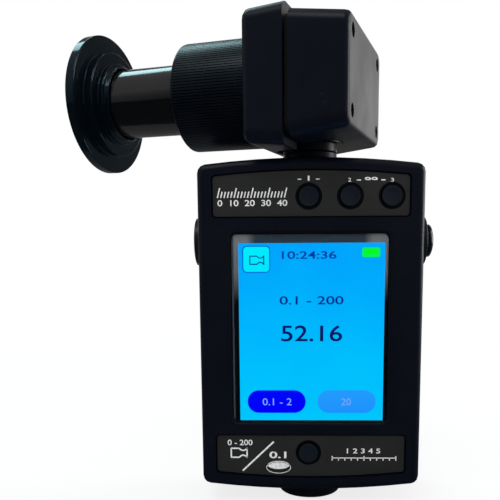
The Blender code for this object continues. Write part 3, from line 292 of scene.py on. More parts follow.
def finer_copy(node, name, material, body, edge=0.0):
    """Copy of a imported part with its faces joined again, so that its rounds shade evenly."""
    piece = bpy.data.objects.new(name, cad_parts[node].data.copy())
    bpy.context.scene.collection.objects.link(piece)
    select_only(piece)
    bpy.ops.mesh.customdata_custom_splitnormals_clear()
    bpy.ops.object.mode_set(mode='EDIT')
    bpy.ops.mesh.select_all(action='SELECT')
    bpy.ops.mesh.remove_doubles(threshold=1e-6)
    bpy.ops.mesh.dissolve_limited(angle_limit=math.radians(0.5))
    bpy.ops.object.mode_set(mode='OBJECT')
    if edge:
        soften(piece, edge)
    finish_piece(piece, material, body)
    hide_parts(node)
    return piece


case_black = moulded_plastic("case_black", (0.0012, 0.0025, 0.0078), (0.010, 0.012, 0.018),
                             0.38, 0.25, 0.17)
back_shell = finer_copy("back_cover", "back_shell", case_black, "case")


# Battery, its sleeve and its contact spring
# A plated steel cell slides up a moulded sleeve against a conical spring of bright wire.
# The cap below holds it in.
def metal(name, colour, worn, roughness, scale):
    """Metal with fine scratches and patches that are duller than the rest."""
    material, place = open_finish(name)
    patches, scratches = cloud(place, scale, 6), cloud(place, scale * 22, 2)
    close_finish(place, Metallic=1.0, Roughness=patches * 0.2 + (roughness - 0.10),
                 Base_Color=colour_between(patches.ramp((0.35, 0.0), (0.75, 1.0)), colour, worn),
                 Normal=relief(scratches, 0.15, 0.00003))
    return material


def coat_node(material, *nodes):
    """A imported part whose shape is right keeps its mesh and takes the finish."""
    for node in nodes:
        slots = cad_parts[node].data.materials
        slots.clear()
        slots.append(material)


coat_node(metal("cell_can", (0.62, 0.60, 0.55), (0.42, 0.40, 0.36), 0.28, 300.0), "battery_cell")
coat_node(metal("spring_wire", (0.66, 0.66, 0.64), (0.50, 0.49, 0.47), 0.22, 500.0),
          "battery_spring")
inner_black = moulded_plastic("inner_black", (0.012, 0.012, 0.013), (0.03, 0.03, 0.03), 0.5, 0.2)
coat_node(inner_black, "battery_sleeve")


# Main circuit board and its switches
# Glass-epoxy board under green solder resist with the copper tracks showing through as paler
# lines; moulded switches and one sprung steel dome are soldered on its front.
def solder_resist(name):
    material, place = open_finish(name)
    tracks = place.node("ShaderNodeTexVoronoi",
                        {"feature": 'DISTANCE_TO_EDGE', "distance": 'MANHATTAN'},
                        {"Vector": place, "Scale": 420.0, "Randomness": 0.7}, "Distance")
    copper = tracks.ramp((0.02, 1.0), (0.09, 1.0), (0.11, 0.0))
    weave = cloud(place, 2500, 2)
    close_finish(place, Roughness=weave * 0.12 + 0.26,
                 Base_Color=colour_between(copper, (0.006, 0.055, 0.028), (0.02, 0.13, 0.06)),
                 Normal=relief(copper + weave * 0.2, 0.3, 0.00004))
    return material


coat_node(solder_resist("green_resist"), "main_board", "sensor_board")
switch_black = moulded_plastic("switch_black", (0.02, 0.02, 0.022), (0.05, 0.05, 0.05), 0.42, 0.15)
coat_node(switch_black, "lamp_switch", "recall_switch", "store_switch", "measure_switch")
coat_node(metal("dome_steel", (0.70, 0.69, 0.66), (0.55, 0.54, 0.52), 0.2, 400.0),
          "display_switch")


# Display module and its frame
# The liquid crystal panel sits in a moulded frame close behind the window; its steel rim is
# hidden by the cover's ledge.
display_back = moulded_plastic("display_back", (0.01, 0.02, 0.03), (0.03, 0.05, 0.06), 0.3, 0.05)
coat_node(display_back, "display_module")
coat_node(inner_black, "display_frame")


# Front cover
# Deep moulded tub with arched ends, recesses for the two label plates, a bevelled window
# opening and round holes for the four buttons. Same plastic and grain as the back cover.
front_shell = finer_copy("front_cover", "front_shell", case_black, "case")


# Window and lit picture
# A clear acrylic pane with chamfered edges is bonded in the opening. Behind it a printed
# border, with painted glints and a painted sheen on it, surrounds the lit field, and figures
# stand in thin layers on the field.
def clear_acrylic(name):
    material, place = open_finish(name)
    close_finish(place, Base_Color=(1, 1, 1, 1), Transmission_Weight=1.0, IOR=1.25,
                 Roughness=cloud(place, 55, 4).ramp((0.50, 0.0), (0.80, 0.02)))
    return material


window_pane = finer_copy("display_window", "window_pane", clear_acrylic("clear_pane"), "case",
                         edge=0.00008)


def close_mesh():
    """Joins, closes and turns outwards the faces of a shape that is still in edit mode."""
    bpy.ops.mesh.select_all(action='SELECT')
    bpy.ops.mesh.remove_doubles(threshold=1e-7)
    bpy.ops.mesh.normals_make_consistent(inside=False)
    bpy.ops.object.mode_set(mode='OBJECT')


def plate(name, left, bottom, right, top, corner, front, back):
    """Upright plate with round corners, its face towards the viewer."""
    bpy.ops.object.select_all(action='DESELECT')
    bpy.ops.mesh.primitive_plane_add(
        size=1, location=((left + right) / 2, back, (bottom + top) / 2),
        rotation=(math.pi / 2, 0, 0))
    piece = bpy.context.object
    piece.name = name
    piece.scale = (right - left, top - bottom, 1)
    bpy.ops.object.transform_apply(location=True, rotation=True, scale=True)
    bpy.ops.object.mode_set(mode='EDIT')
    bpy.ops.mesh.select_all(action='SELECT')
    bpy.ops.mesh.bevel(affect='VERTICES', offset=corner, offset_type='OFFSET', segments=6)
    bpy.ops.mesh.extrude_region_move(TRANSFORM_OT_translate={"value": (0, front - back, 0)})
    close_mesh()
    return piece


def painted_glint_border(name):
    """Black printed border with painted light on it: a paler band along its top edge, a grey
    sheen on the upper parts of its sides that fades downwards, and a glint line down its left side."""
    material, place = open_finish(name)
    along, up = place.along("X"), place.along("Z")
    middle, widths_per_metre = -0.0003, 40.0
    span = place.maths('ABSOLUTE', along - middle) * widths_per_metre
    # Painted glint: the border turns paler in a thin band along its top edge.
    top = ((up - 0.0235) * 1000.0).ramp((0.0, 0.0), (1.0, 1.0))
    # Painted sheen: grey on the upper parts of the left and right sides, fading downwards.
    corner = ((up - 0.006) * 50.0).ramp((0.10, 0.0), (0.55, 0.8), (1.0, 1.0)) \
        * span.ramp((0.62, 0.0), (0.72, 1.0))
    # Painted glint: a pale line down the outer left edge.
    left_glint = place.maths('GREATER_THAN', span, 0.868) * place.maths('LESS_THAN', along, 0.0)
    slate_and_top_glint = colour_between(top, (0.0020, 0.0035, 0.008), (0.060, 0.105, 0.155))
    with_corner_sheen = colour_between(corner, slate_and_top_glint, (0.44, 0.46, 0.47))
    close_finish(place, Base_Color=colour_between(left_glint, with_corner_sheen, (0.10, 0.15, 0.21)),
                 Roughness=up * 2.0 + 0.35)
    return material


border_face, field_face, mark_face, detail_face = -0.02236, -0.02240, -0.02243, -0.02246
border_gap, layer_gap = 0.0001, 0.00001
mark_back, detail_back = field_face - layer_gap, mark_face - layer_gap
pane_low, pane_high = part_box("display_window")
screen_border = plate("screen_border", pane_low.x + border_gap, pane_low.z + border_gap,
                      pane_high.x - border_gap, pane_high.z - border_gap, 0.0015,
                      border_face, border_face + 0.00008)
finish_piece(screen_border, painted_glint_border("border_ink_and_painted_glints"), "case")


def lit(name, low_colour, high_colour, foot, head):
    """Glowing layer: its colour runs from the foot's to the head's, with a soft mottle."""
    material, place = open_finish(name)
    mottle = cloud(place, 60, 2)
    share = (place.along("Z") - foot) * (1 / (head - foot)) + (mottle - 0.5) * 0.5
    close_finish(place, Base_Color=(0, 0, 0, 1), Specular_IOR_Level=0.0,
                 Roughness=mottle * 0.1 + 0.5, Emission_Strength=1.0,
                 Emission_Color=colour_between(share, low_colour, high_colour))
    return material


def screen_rgb(levels):
    """Shader colour for the screen's red, green and blue from 0 to 255."""
    return tuple(((level / 255 + 0.055) / 1.055) ** 2.4 if level > 10 else level / 3294.6
                 for level in levels)


def light_up(piece, finish, low_levels, high_levels, foot, head):
    """Puts a piece of the picture on the display, in its own screen colours."""
    glow = lit(finish, screen_rgb(low_levels), screen_rgb(high_levels), foot, head)
    finish_piece(piece, glow, "case")


light_up(plate("lit_field", -0.0206, -0.0271, 0.0211, 0.0245, 0.0002,
               field_face, field_face + 0.00003),
         "field_cyan", (0, 200, 255), (0, 166, 255), -0.027, 0.0245)


def write(name, words, left, bottom, right, top, front, back, weight=0.0):
    """Raised figures that fill the given upright box."""
    bpy.ops.object.select_all(action='DESELECT')
    bpy.ops.object.text_add()
    piece = bpy.context.object
    piece.name = name
    piece.data.body = words
    piece.data.offset = weight
    piece.data.resolution_u = 6
    bpy.ops.object.convert(target='MESH')
    piece = bpy.context.object
    corners = [vertex.co for vertex in piece.data.vertices]
    low_x, high_x = min(c.x for c in corners), max(c.x for c in corners)
    low_y, high_y = min(c.y for c in corners), max(c.y for c in corners)
    wide, tall = (right - left) / (high_x - low_x), (top - bottom) / (high_y - low_y)
    piece.scale = (wide, tall, 1)
    piece.location = (left - low_x * wide, bottom - low_y * tall, 0)
    bpy.ops.object.transform_apply(location=True, rotation=True, scale=True)
    raise_flat(piece, front, back)
    return piece


def raise_flat(piece, front, back):
    """Stands a flat drawing up on its place and gives it its thickness."""
    piece.rotation_euler = (math.pi / 2, 0, 0)
    piece.location = (0, back, 0)
    bpy.ops.object.transform_apply(location=True, rotation=True, scale=True)
    bpy.ops.object.mode_set(mode='EDIT')
    bpy.ops.mesh.select_all(action='SELECT')
    bpy.ops.mesh.remove_doubles(threshold=1e-6)
    bpy.ops.mesh.extrude_region_move(TRANSFORM_OT_translate={"value": (0, front - back, 0)})
    close_mesh()


def draw(name, points, line, front, back, corner=0.0):
    """Outline of the line's width along the points, or a filled shape where the line is 0."""
    bpy.ops.object.select_all(action='DESELECT')
    bpy.ops.mesh.primitive_circle_add(vertices=len(points), radius=0.001, fill_type='NGON')
    piece = bpy.context.object
    piece.name = name
    for vertex, (x, z) in zip(piece.data.vertices, points):
        vertex.co = (x, z, 0)
    bpy.ops.object.mode_set(mode='EDIT')
    bpy.ops.mesh.select_all(action='SELECT')
    if corner:
        bpy.ops.mesh.bevel(affect='VERTICES', offset=corner, segments=4)
    if line:
        bpy.ops.mesh.inset(thickness=line, depth=0)
        bpy.ops.mesh.delete(type='FACE')
    bpy.ops.object.mode_set(mode='OBJECT')
    raise_flat(piece, front, back)
    return piece


def tube_outline(left, bottom, right, top):
    """Side view of the contact tube: wide socket, taper, thin tube and upright flange."""
    wide, tall = right - left, top - bottom
    shares = [(0, 0.06), (0.52, 0.06), (0.66, 0.24), (0.80, 0.24), (1, 0),
              (1, 1), (0.80, 0.76), (0.66, 0.76), (0.52, 0.94), (0, 0.94)]
    return [(left + wide * x, bottom + tall * z) for x, z in shares]


def join(name, pieces):
    bpy.ops.object.select_all(action='DESELECT')
    for piece in pieces:
        piece.select_set(True)
    bpy.context.view_layer.objects.active = pieces[0]
    bpy.ops.object.join()
    pieces[0].name = name
    return pieces[0]


marks = join("screen_figures", [
    write("title_digits", "10:24:36", -0.0082, 0.0200, 0.0073, 0.0222, mark_face, mark_back, 0.01),
    write("unit_digits", "0.1 - 200", -0.0089, 0.0070, 0.0094, 0.0094, mark_face, mark_back, 0.01),
    write("reading", "52.16", -0.0085, -0.0037, 0.0091, 0.0010, mark_face, mark_back, 0.008)])
light_up(marks, "figure_navy", (6, 20, 96), (10, 52, 165), -0.004, 0.023)

icon_left, icon_foot, icon_right, icon_top = -0.0195, 0.0161, -0.0115, 0.0238
icon_line = draw("icon_line", [(icon_left, icon_foot), (icon_right, icon_foot),
                               (icon_right, icon_top), (icon_left, icon_top)],
                 0.0003, detail_face, mark_back, 0.0013)
light_up(icon_line, "line_blue", (8, 96, 214), (8, 90, 208), 0.016, 0.024)
light_up(plate("icon_box", -0.0192, 0.0164, -0.0118, 0.0235, 0.0011, mark_face, mark_back),
         "icon_cyan", (0, 232, 255), (0, 240, 255), 0.016, 0.024)

pill_foot, pill_top, pill_round = -0.0249, -0.0181, 0.0033
light_up(plate("pill_one", -0.0184, pill_foot, -0.0014, pill_top, pill_round,
               mark_face, mark_back),
         "pill_blue", (0, 0, 255), (0, 8, 250), -0.025, -0.018)
light_up(plate("pill_two", 0.0021, pill_foot, 0.0190, pill_top, pill_round,
               mark_face, mark_back),
         "pill_pale", (28, 148, 255), (36, 156, 255), -0.025, -0.018)
pill_words = join("pill_figures", [
    write("first_choice", "0.1 - 2", -0.0140, -0.0226, -0.0055, -0.0205, detail_face, detail_back),
    write("second_choice", "20", 0.0090, -0.0226, 0.0118, -0.0205, detail_face, detail_back)])
light_up(pill_words, "figure_pale", (125, 165, 250), (125, 165, 250), -0.023, -0.020)

light_up(plate("battery_sign", 0.01455, 0.0204, 0.0197, 0.02315, 0.0006, mark_face, mark_back),
         "sign_green", (10, 245, 80), (10, 240, 90), 0.020, 0.024)
light_up(plate("battery_bar", 0.01545, 0.0214, 0.0187, 0.02245, 0.0002, detail_face, detail_back),
         "bar_green", (0, 255, 10), (0, 255, 20), 0.020, 0.024)
light_up(draw("tube_sign", tube_outline(-0.0175, 0.0182, -0.0132, 0.0212), 0.00034,
              detail_face, detail_back, 0.0002),
         "sign_navy", (10, 70, 150), (10, 80, 160), 0.018, 0.021)


# Label plates
# Two thin aluminium plates, painted satin charcoal and screen-printed in white, lie in the
# recesses of the front cover on adhesive; round holes let the buttons through.
def satin_paint(name):
    material, place = open_finish(name)
    patches, orange_peel = cloud(place, 110, 4), cloud(place, 1500, 3)
    close_finish(place, Roughness=patches * 0.12 + 0.40,
                 Base_Color=colour_between(patches, (0.0125, 0.0128, 0.0135),
                                           (0.018, 0.018, 0.0185)),
                 Normal=relief(orange_peel, 0.2, 0.00004))
    return material


plate_paint = satin_paint("plate_paint")
for node, name in (("top_panel", "top_plate"), ("bottom_panel", "bottom_plate")):
    label_plate = finer_copy(node, name, plate_paint, "case", edge=0.00006)


def screen_ink(name):
    material, place = open_finish(name)
    wear = cloud(place, 2200, 3)
    close_finish(place, Roughness=wear * 0.2 + 0.45,
                 Base_Color=colour_between(wear.ramp((0.35, 0.0), (0.65, 1.0)),
                                           (0.62, 0.62, 0.60), (0.86, 0.86, 0.85)))
    return material


plate_face = -0.0234
ink_face, ink_back = plate_face - 0.00003, plate_face - 0.000005


def stroke(start, end, width):
    """Straight printed line from start to end."""
    (x0, z0), (x1, z1) = start, end
    length = math.hypot(x1 - x0, z1 - z0)
    side_x, side_z = (z1 - z0) / length * width / 2, (x0 - x1) / length * width / 2
    return draw("stroke", [(x0 + side_x, z0 + side_z), (x1 + side_x, z1 + side_z),
                           (x1 - side_x, z1 - side_z), (x0 - side_x, z0 - side_z)],
                0, ink_face, ink_back)


def print_words(words, left, bottom, right, top, weight=0.0):
    return write("print", words, left, bottom, right, top, ink_face, ink_back, weight)


def oval(middle, half_width, half_height):
    count = 48
    return [(middle[0] + half_width * math.cos(math.tau * step / count),
             middle[1] + half_height * math.sin(math.tau * step / count)) for step in range(count)]


scale_left, scale_right, scale_foot = -0.0262, -0.0074, 0.0371
short_tick, long_tick, tick_lean, tick_line = 0.0017, 0.0027, 0.25, 0.00034
dash_height, dash_line = 0.0417, 0.0003
top_print = []
for tick in range(21):
    x = scale_left + (scale_right - scale_left) * tick / 20
    height = long_tick if tick % 5 == 0 else short_tick
    top_print.append(stroke((x, scale_foot), (x + height * tick_lean, scale_foot + height),
                            tick_line))
top_print += [
    print_words("0  10  20  30  40", scale_left, 0.0348, scale_right + 0.0008, 0.0365, 0.012),
    print_words("- 1 -", -0.0037, 0.0416, 0.0024, 0.0430, 0.02),
    print_words("2", 0.0103, 0.0413, 0.0112, 0.0423),
    print_words("99", 0.0149, 0.0411, 0.0185, 0.0425, 0.02),
    print_words("3", 0.0221, 0.0412, 0.0230, 0.0422),
    stroke((0.0127, dash_height), (0.0139, dash_height), dash_line),
    stroke((0.0195, dash_height), (0.0207, dash_height), dash_line)]
top_marks = join("top_print", top_print)
white_ink = screen_ink("white_ink")
finish_piece(top_marks, white_ink, "case")

line_height, long_foot, long_top = -0.0383, -0.0391, -0.0377
bottom_print = [
    print_words("0 - 200", -0.0244, -0.0345, -0.0171, -0.0328, 0.01),
    draw("tube_print", tube_outline(-0.0236, -0.0386, -0.0185, -0.0350), 0.00042,
         ink_face, ink_back, 0.0003),
    stroke((-0.0108, -0.0334), (-0.02006, -0.0423), 0.0005),
    print_words("0.1", -0.0121, -0.03845, -0.0071, -0.0364, 0.02),
    draw("disc_face", oval((-0.0094, -0.0405), 0.0032, 0.00125), 0, ink_face, ink_back),
    draw("disc_rim", oval((-0.0094, -0.0413), 0.00365, 0.0018), 0.00018, ink_face, ink_back),
    print_words("1 2 3 4 5", 0.0107, -0.0369, 0.0205, -0.0354, 0.012),
    stroke((0.0063, line_height), (0.0252, line_height), 0.00025)]
for tick in range(11):
    x = 0.0064 + 0.0187 * tick / 10
    tick_top = long_top if tick % 5 == 0 else line_height
    bottom_print.append(stroke((x, long_foot), (x, tick_top), 0.0003))
bottom_marks = join("bottom_print", bottom_print)
finish_piece(bottom_marks, white_ink, "case")


# Push buttons
# Four moulded keys with a shallow dish; a flange behind the cover's wall keeps each one in
# its hole, and a nub on its back meets the switch.
def turned(name, sides, profile, bored=False):
    """Round piece raised ring by ring along Z from (radius, height) points."""
    bpy.ops.object.select_all(action='DESELECT')
    radius, height = profile[0]
    bpy.ops.mesh.primitive_circle_add(vertices=sides, radius=radius, location=(0, 0, height),
                                      fill_type='NOTHING' if bored else 'NGON')
    piece = bpy.context.object
    piece.name = name
    bpy.ops.object.transform_apply(location=True, rotation=True, scale=True)
    bpy.ops.object.mode_set(mode='EDIT')
    bpy.ops.mesh.select_all(action='SELECT')
    for next_radius, next_height in profile[1:]:
        rise, grow = next_height - height, next_radius / radius
        bpy.ops.mesh.extrude_region_move(TRANSFORM_OT_translate={"value": (0, 0, rise)})
        bpy.ops.transform.resize(value=(grow, grow, 1), center_override=(0, 0, 0))
        radius, height = next_radius, next_height
    close_mesh()
    return piece


def set_on(piece, place, axis):
    """Moves a piece made along Z to its place, along the axis."""
    select_only(piece)
    turn = Vector(axis).to_track_quat('Z', 'Y').to_matrix().to_4x4()
    piece.matrix_world = Matrix.Translation(place) @ turn
    bpy.ops.object.transform_apply(location=True, rotation=True, scale=True)


def own_copy(piece, name):
    copy = piece.copy()
    copy.data = piece.data.copy()
    copy.name = name
    bpy.context.scene.collection.objects.link(copy)
    return copy


key_black = moulded_plastic("key_black", (0.0036, 0.0072, 0.0140), (0.02, 0.024, 0.03),
                            0.36, 0.12, 0.3)
key_pattern = turned("key_pattern", 64, [
    (0.0010, 0.0205), (0.0010, 0.0206), (0.0035, 0.0206), (0.0035, 0.0212), (0.0028, 0.0212),
    (0.0028, 0.0239), (0.0022, 0.02385), (0.0014, 0.02375), (0.0006, 0.0237)])
soften(key_pattern, 0.0003, 3)
for node in ("lamp_button", "recall_button", "store_button", "display_button"):
    low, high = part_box(node)
    key = own_copy(key_pattern, node.replace("button", "key"))
    set_on(key, ((low.x + high.x) / 2, 0, (low.z + high.z) / 2), (0, -1, 0))
    finish_piece(key, key_black, node)
    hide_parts(node)
bpy.data.objects.remove(key_pattern)


# Side fittings
# On the right a domed measure key in a flanged ring, on the left a plain plug of the same
# size. Both are moulded and pressed into the case from outside.
side_place = (0, -0.012, 0.025)
measure_surround = turned("measure_surround", 96, [
    (0.0057, 0.0295), (0.0064, 0.0295), (0.0064, 0.0323), (0.0070, 0.0323), (0.0070, 0.0338),
    (0.0057, 0.0338), (0.0057, 0.0295)], bored=True)
soften(measure_surround, 0.0004, 3)
set_on(measure_surround, side_place, (1, 0, 0))
finish_piece(measure_surround, key_black, "case")
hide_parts("measure_ring")

# The dome starts a little below its widest ring and closes at its tip.
dome_radius, dome_foot, dome_height, dome_steps = 0.0048, 0.0350, 0.0014, 8
dome_rows = [(dome_radius * math.cos(angle), dome_foot + dome_height * math.sin(angle))
             for angle in (math.pi / 2 * step / dome_steps for step in range(-3, dome_steps))]
measure_key = turned("measure_key", 96, [
    (0.0062, 0.0282), (0.0062, 0.0292), (0.0054, 0.0292), (0.0054, 0.0336),
    (0.0052, 0.0339), (0.0041, 0.0339)] + dome_rows + [(0.0004, 0.0364)])
set_on(measure_key, side_place, (1, 0, 0))
knob_black = moulded_plastic("knob_black", (0.0030, 0.0060, 0.0110), (0.02, 0.024, 0.03),
                             0.18, 0.06, 0.5)
finish_piece(measure_key, knob_black, "measure_button")
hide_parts("measure_button")

side_plug = turned("side_plug", 96, [
    (0.0064, 0.0295), (0.0064, 0.0323), (0.0070, 0.0323), (0.0070, 0.0333), (0.0069, 0.0336),
    (0.0065, 0.0338), (0.0048, 0.0340), (0.0028, 0.03415), (0.0006, 0.0342)])
set_on(side_plug, side_place, (-1, 0, 0))
finish_piece(side_plug, key_black, "case")
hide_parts("left_side_plug")


# Screws
# Blackened steel machine screws with a cross recess: four through the back cover and four
# deep in pockets of the head's rear face.
screw_black = metal("screw_black", (0.045, 0.045, 0.048), (0.16, 0.15, 0.14), 0.34, 900.0)


def cut_out(piece, cutter):
    """Takes the cutter's shape out of the piece, which stays selected."""
    cut = piece.modifiers.new("cut_out", 'BOOLEAN')
    cut.object = cutter
    cut.solver = 'EXACT'
    select_only(piece)
    bpy.ops.object.modifier_apply(modifier=cut.name)
    bpy.data.objects.remove(cutter)


def cross_screw(name, head_radius, head_height, shank_radius, length):
    """Screw along Z, its head's top at 0 and its shank below. The recess is cut by a square
    sheet without its four corners, sunk and tapered into a cross."""
    screw = turned(name, 40, [
        (shank_radius * 0.6, -length), (shank_radius, -length + 0.0005),
        (shank_radius, -head_height), (head_radius, -head_height), (head_radius, 0)])
    soften(screw, head_radius * 0.12, 2)
    bpy.ops.object.select_all(action='DESELECT')
    bpy.ops.mesh.primitive_plane_add(size=head_radius * 1.2, location=(0, 0, head_height))
    driver = bpy.context.object
    bpy.ops.object.transform_apply(location=True, rotation=True, scale=True)
    bpy.ops.object.mode_set(mode='EDIT')
    bpy.ops.mesh.select_all(action='SELECT')
    bpy.ops.mesh.subdivide(number_cuts=2)
    bpy.ops.object.mode_set(mode='OBJECT')
    half_arm, inner_zone = head_radius * 0.15, head_radius * 0.3
    outer_zone = half_arm * 1.5
    for vertex in driver.data.vertices:
        vertex.select = False
        for axis in (0, 1):
            if abs(vertex.co[axis]) < inner_zone:
                vertex.co[axis] = math.copysign(half_arm, vertex.co[axis])
    for face in driver.data.polygons:
        face.select = min(abs(face.center.x), abs(face.center.y)) > outer_zone
    bpy.ops.object.mode_set(mode='EDIT')
    bpy.ops.mesh.select_mode(type='FACE')
    bpy.ops.mesh.delete(type='FACE')
    bpy.ops.mesh.select_all(action='SELECT')
    reach_down, taper = -head_height * 1.75, 0.7
    bpy.ops.mesh.extrude_region_move(TRANSFORM_OT_translate={"value": (0, 0, reach_down)})
    bpy.ops.transform.resize(value=(taper, taper, 1), center_override=(0, 0, 0))
    bpy.ops.mesh.select_mode(type='VERT')
    close_mesh()
    cut_out(screw, driver)
    return screw


cover_pattern = cross_screw("cover_pattern", 0.0018, 0.0012, 0.0009, 0.0142)
for number in range(1, 5):
    node = f"cover_screw_{number}"
    low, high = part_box(node)
    screw = own_copy(cover_pattern, f"back_screw_{number}")
    set_on(screw, ((low.x + high.x) / 2, high.y, (low.z + high.z) / 2), (0, 1, 0))
    finish_piece(screw, screw_black, "case", 30.0)
    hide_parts(node)
bpy.data.objects.remove(cover_pattern)

head_forward = Vector((-0.957822, 0.287361, 0))
deep_radius = 0.0016
head_pattern = cross_screw("head_pattern", deep_radius, 0.0012, 0.0008, 0.0216)
for number in range(1, 5):
    node = f"head_screw_{number}"
    low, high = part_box(node)
    screw = own_copy(head_pattern, f"deep_screw_{number}")
    half_length = ((high.x - low.x) - 2 * deep_radius * abs(head_forward.y)) \
        / abs(head_forward.x) / 2
    set_on(screw, (low + high) / 2 - head_forward * half_length, -head_forward)
    finish_piece(screw, screw_black, "head", 30.0)
    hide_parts(node)
bpy.data.objects.remove(head_pattern)


# Battery cap
# Moulded cap of the same black plastic, screwed in under the body with a coin in its slot.
# Its plug reaches up to the cell.
battery_lid = turned("battery_lid", 96, [
    (0.0090, -0.05185), (0.0093, -0.05145), (0.0093, -0.0485), (0.0072, -0.0485),
    (0.0072, -0.0455)])
soften(battery_lid, 0.0002, 2)
slot_length, slot_width, slot_round, cutter_foot, cutter_height = \
    0.0130, 0.0016, 0.0004, -0.0530, 0.00235
bpy.ops.object.select_all(action='DESELECT')
bpy.ops.mesh.primitive_plane_add(size=1, location=(0, 0, cutter_foot))
slot_cutter = bpy.context.object
slot_cutter.scale = (slot_length, slot_width, 1)
bpy.ops.object.transform_apply(location=True, rotation=True, scale=True)
bpy.ops.object.mode_set(mode='EDIT')
bpy.ops.mesh.select_all(action='SELECT')
bpy.ops.mesh.bevel(affect='VERTICES', offset=slot_round, segments=4)
bpy.ops.mesh.extrude_region_move(TRANSFORM_OT_translate={"value": (0, 0, cutter_height)})
close_mesh()
cut_out(battery_lid, slot_cutter)
set_on(battery_lid, (0, -0.011, 0), (0, 0, 1))
finish_piece(battery_lid, case_black, "battery_cap", 30.0)
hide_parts("battery_cap")


# Neck
# A turned and anodised bush is clamped in the body's top by a nut. The head's post turns in
# it, held down by a spring washer and a clip.
def anodised(name, colour, worn, dullness, ring_axis, ring_count, gloss=0.5, index=1.5,
             sheen=(1, 1, 1)):
    """Black anodised aluminium with faint turning rings along its axis and slightly paler wear."""
    material, place = open_finish(name)
    rings = place.node("ShaderNodeTexNoise", {"noise_dimensions": '1D'},
                       {"W": place.dot(ring_axis) * ring_count, "Scale": 1.0, "Detail": 2.0})
    patches = cloud(place, 85, 5)
    close_finish(place, Specular_IOR_Level=gloss, IOR=index, Specular_Tint=(*sheen, 1),
                 Base_Color=colour_between(patches.ramp((0.45, 0.0), (0.75, 1.0)), colour, worn),
                 Roughness=patches * 0.08 + rings * 0.04 + (dullness - 0.06),
                 Normal=relief(rings, 0.08, 0.00003))
    return material


bush_black = anodised("bush_black", (0.0008, 0.0014, 0.0032), (0.002, 0.003, 0.005), 0.36,
                      (0, 0, 1), 6000.0, 0.12)
neck_axis = (0, -0.012, 0)
top_bush = turned("top_bush", 96, [
    (0.0053, 0.0430), (0.0064, 0.0430), (0.0064, 0.0485), (0.00785, 0.0485), (0.00785, 0.0502),
    (0.0053, 0.0502), (0.0053, 0.0430)], bored=True)
soften(top_bush, 0.00025, 2)
set_on(top_bush, neck_axis, (0, 0, 1))
finish_piece(top_bush, bush_black, "case")
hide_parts("neck_bush")

neck_low, neck_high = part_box("swivel_neck")
neck_post = turned("neck_post", 96, [
    (0.0034, neck_low.z), (0.0050, neck_low.z), (0.0050, 0.0412), (0.0045, 0.0412),
    (0.0045, 0.0419), (0.0050, 0.0419), (0.0050, 0.0505), (0.00784, 0.0505), (0.00784, 0.0528),
    (0.00942, 0.0528), (0.00942, 0.0538), (0.0046, 0.0538), (0.0046, 0.05646),
    (0.0060, 0.05646), (0.0060, neck_high.z), (0.0034, neck_high.z), (0.0034, neck_low.z)],
    bored=True)
soften(neck_post, 0.0002, 2)
set_on(neck_post, neck_axis, (0, 0, 1))
finish_piece(neck_post, bush_black, "head")
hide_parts("swivel_neck")
coat_node(metal("sprung_steel", (0.60, 0.59, 0.57), (0.44, 0.43, 0.41), 0.30, 600.0),
          "spring_washer", "retaining_clip", "bush_nut")


# Sensor head
# Two moulded halves with a dark seal in the seam. Inside are the sensor board and its
# photodiode, behind the spigot and filter glass that look out through the front wall.
for node, name in (("head_front", "front_block"), ("head_rear", "rear_shell")):
    half = finer_copy(node, name, case_black, "head")
seal_black = moulded_plastic("seal_black", (0.004, 0.004, 0.004), (0.01, 0.01, 0.01),
                             0.8, 0.3, 0.2)
coat_node(seal_black, "head_seal")
coat_node(metal("diode_can", (0.63, 0.61, 0.55), (0.45, 0.43, 0.38), 0.25, 400.0), "photodiode")
spigot_black = anodised("spigot_black", (0.006, 0.006, 0.007), (0.010, 0.010, 0.011), 0.4,
                        tuple(head_forward), 5000.0)
coat_node(spigot_black, "head_spigot", "aperture_stop", "lens_ring")


def optical_glass(name, tint):
    material, place = open_finish(name)
    bloom = cloud(place, 150, 3)
    close_finish(place, Base_Color=colour_between(bloom, tint, (0.97, 0.97, 1.0)),
                 Transmission_Weight=1.0, IOR=1.5, Roughness=bloom * 0.02)
    return material


coat_node(optical_glass("filter_green", (0.70, 0.88, 0.62)), "filter_glass")
coat_node(optical_glass("lens_clear", (0.90, 0.94, 1.0)), "objective_lens")


# Lock collar
# Turned collar with straight knurling right round and a rounded outer shoulder. It turns on
# the tube's socket and clamps it to the spigot; dull black anodised.
head_middle = Vector((0, -0.012, 0.06826))
ridges, ridge_points, groove_share, groove_depth, grip_from = 120, 3, 0.30, 0.0004, 0.0145
grip_collar = turned("grip_collar", ridges * ridge_points, [
    (0.0134, 0.01295), (0.0156, 0.01295), (0.0156, 0.03625), (0.01544, 0.03685),
    (0.01500, 0.03729), (0.01440, 0.03745), (0.01055, 0.03745), (0.01055, 0.0269),
    (0.0134, 0.0269), (0.0134, 0.01295)], bored=True)
edge_shift = (1 / ridge_points - groove_share / 2) * math.tau / ridges
for vertex in grip_collar.data.vertices:
    radius = math.hypot(vertex.co.x, vertex.co.y)
    if radius > grip_from:
        # Of every three points round the rim, one is sunk into a groove and the other two
        # close up on it, which leaves a flat-topped ridge.
        turn = math.atan2(vertex.co.y, vertex.co.x) / math.tau
        point = round(turn * ridges * ridge_points) % ridge_points
        if point == 0:
            vertex.co.xy *= 1 - groove_depth / radius
        else:
            shift = -edge_shift if point == 1 else edge_shift
            vertex.co.xy = Matrix.Rotation(shift, 2) @ vertex.co.xy
set_on(grip_collar, head_middle, head_forward)
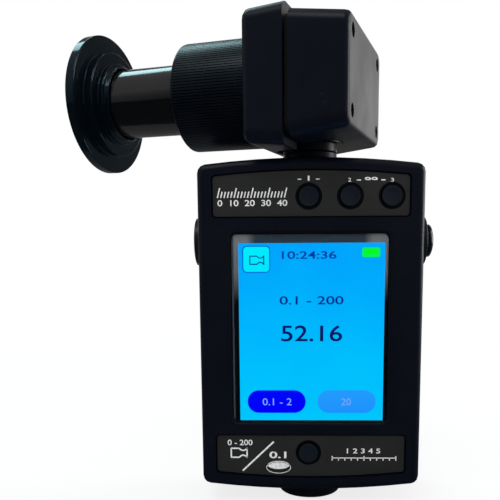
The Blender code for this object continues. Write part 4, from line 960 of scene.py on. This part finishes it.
collar_black = anodised("collar_black", (0.0010, 0.0016, 0.0040), (0.003, 0.004, 0.007), 0.30,
                        tuple(head_forward), 5000.0, 0.36, 1.45, (0.72, 0.93, 1.0))
finish_piece(grip_collar, collar_black, "collar", 20.0)
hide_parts("knurled_collar")


# Contact tube
# Turned aluminium tube, anodised gloss black outside: its socket slides on the spigot and a
# ledge in its bore carries the lens, the aperture stop and the retaining ring.
tube_gloss = anodised("tube_gloss", (0.0016, 0.0018, 0.0022), (0.004, 0.004, 0.004), 0.10,
                      tuple(head_forward), 3000.0, 0.5, 1.7)
sight_tube = turned("sight_tube", 128, [
    (0.0105, 0.0132), (0.0131, 0.0132), (0.0131, 0.0266), (0.01025, 0.0266), (0.01025, 0.0641),
    (0.0084, 0.0641), (0.0084, 0.0410), (0.0076, 0.0410), (0.0076, 0.0400), (0.0084, 0.0400),
    (0.0084, 0.0241), (0.0105, 0.0241), (0.0105, 0.0132)], bored=True)
set_on(sight_tube, head_middle, head_forward)
finish_piece(sight_tube, tube_gloss, "attachment", 30.0)
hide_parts("contact_tube")


# Contact flange
# Stepped hub and broad disc turned from one bar, pressed on the tube's end and held flat
# against a screen or lamp. It is gloss black too, with bright lines on its turned corners.
broad_flange = turned("broad_flange", 160, [
    (0.01055, 0.0600), (0.01115, 0.0600), (0.01115, 0.0614), (0.0122, 0.0614),
    (0.0122, 0.0630), (0.0156, 0.0630), (0.0156, 0.0657), (0.0208, 0.0657), (0.0208, 0.0685),
    (0.0088, 0.0685), (0.0080, 0.0677), (0.0080, 0.0644), (0.01055, 0.0644),
    (0.01055, 0.0600)], bored=True)
soften(broad_flange, 0.00035, 3)
set_on(broad_flange, head_middle, head_forward)
disc_gloss = anodised("disc_gloss", (0.0010, 0.0022, 0.0036), (0.002, 0.004, 0.006), 0.09,
                      tuple(head_forward), 3000.0, 0.38, 1.5, (0.50, 0.82, 1.0))
finish_piece(broad_flange, disc_gloss, "attachment", 30.0)
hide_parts("contact_flange")

bpy.context.view_layer.update()
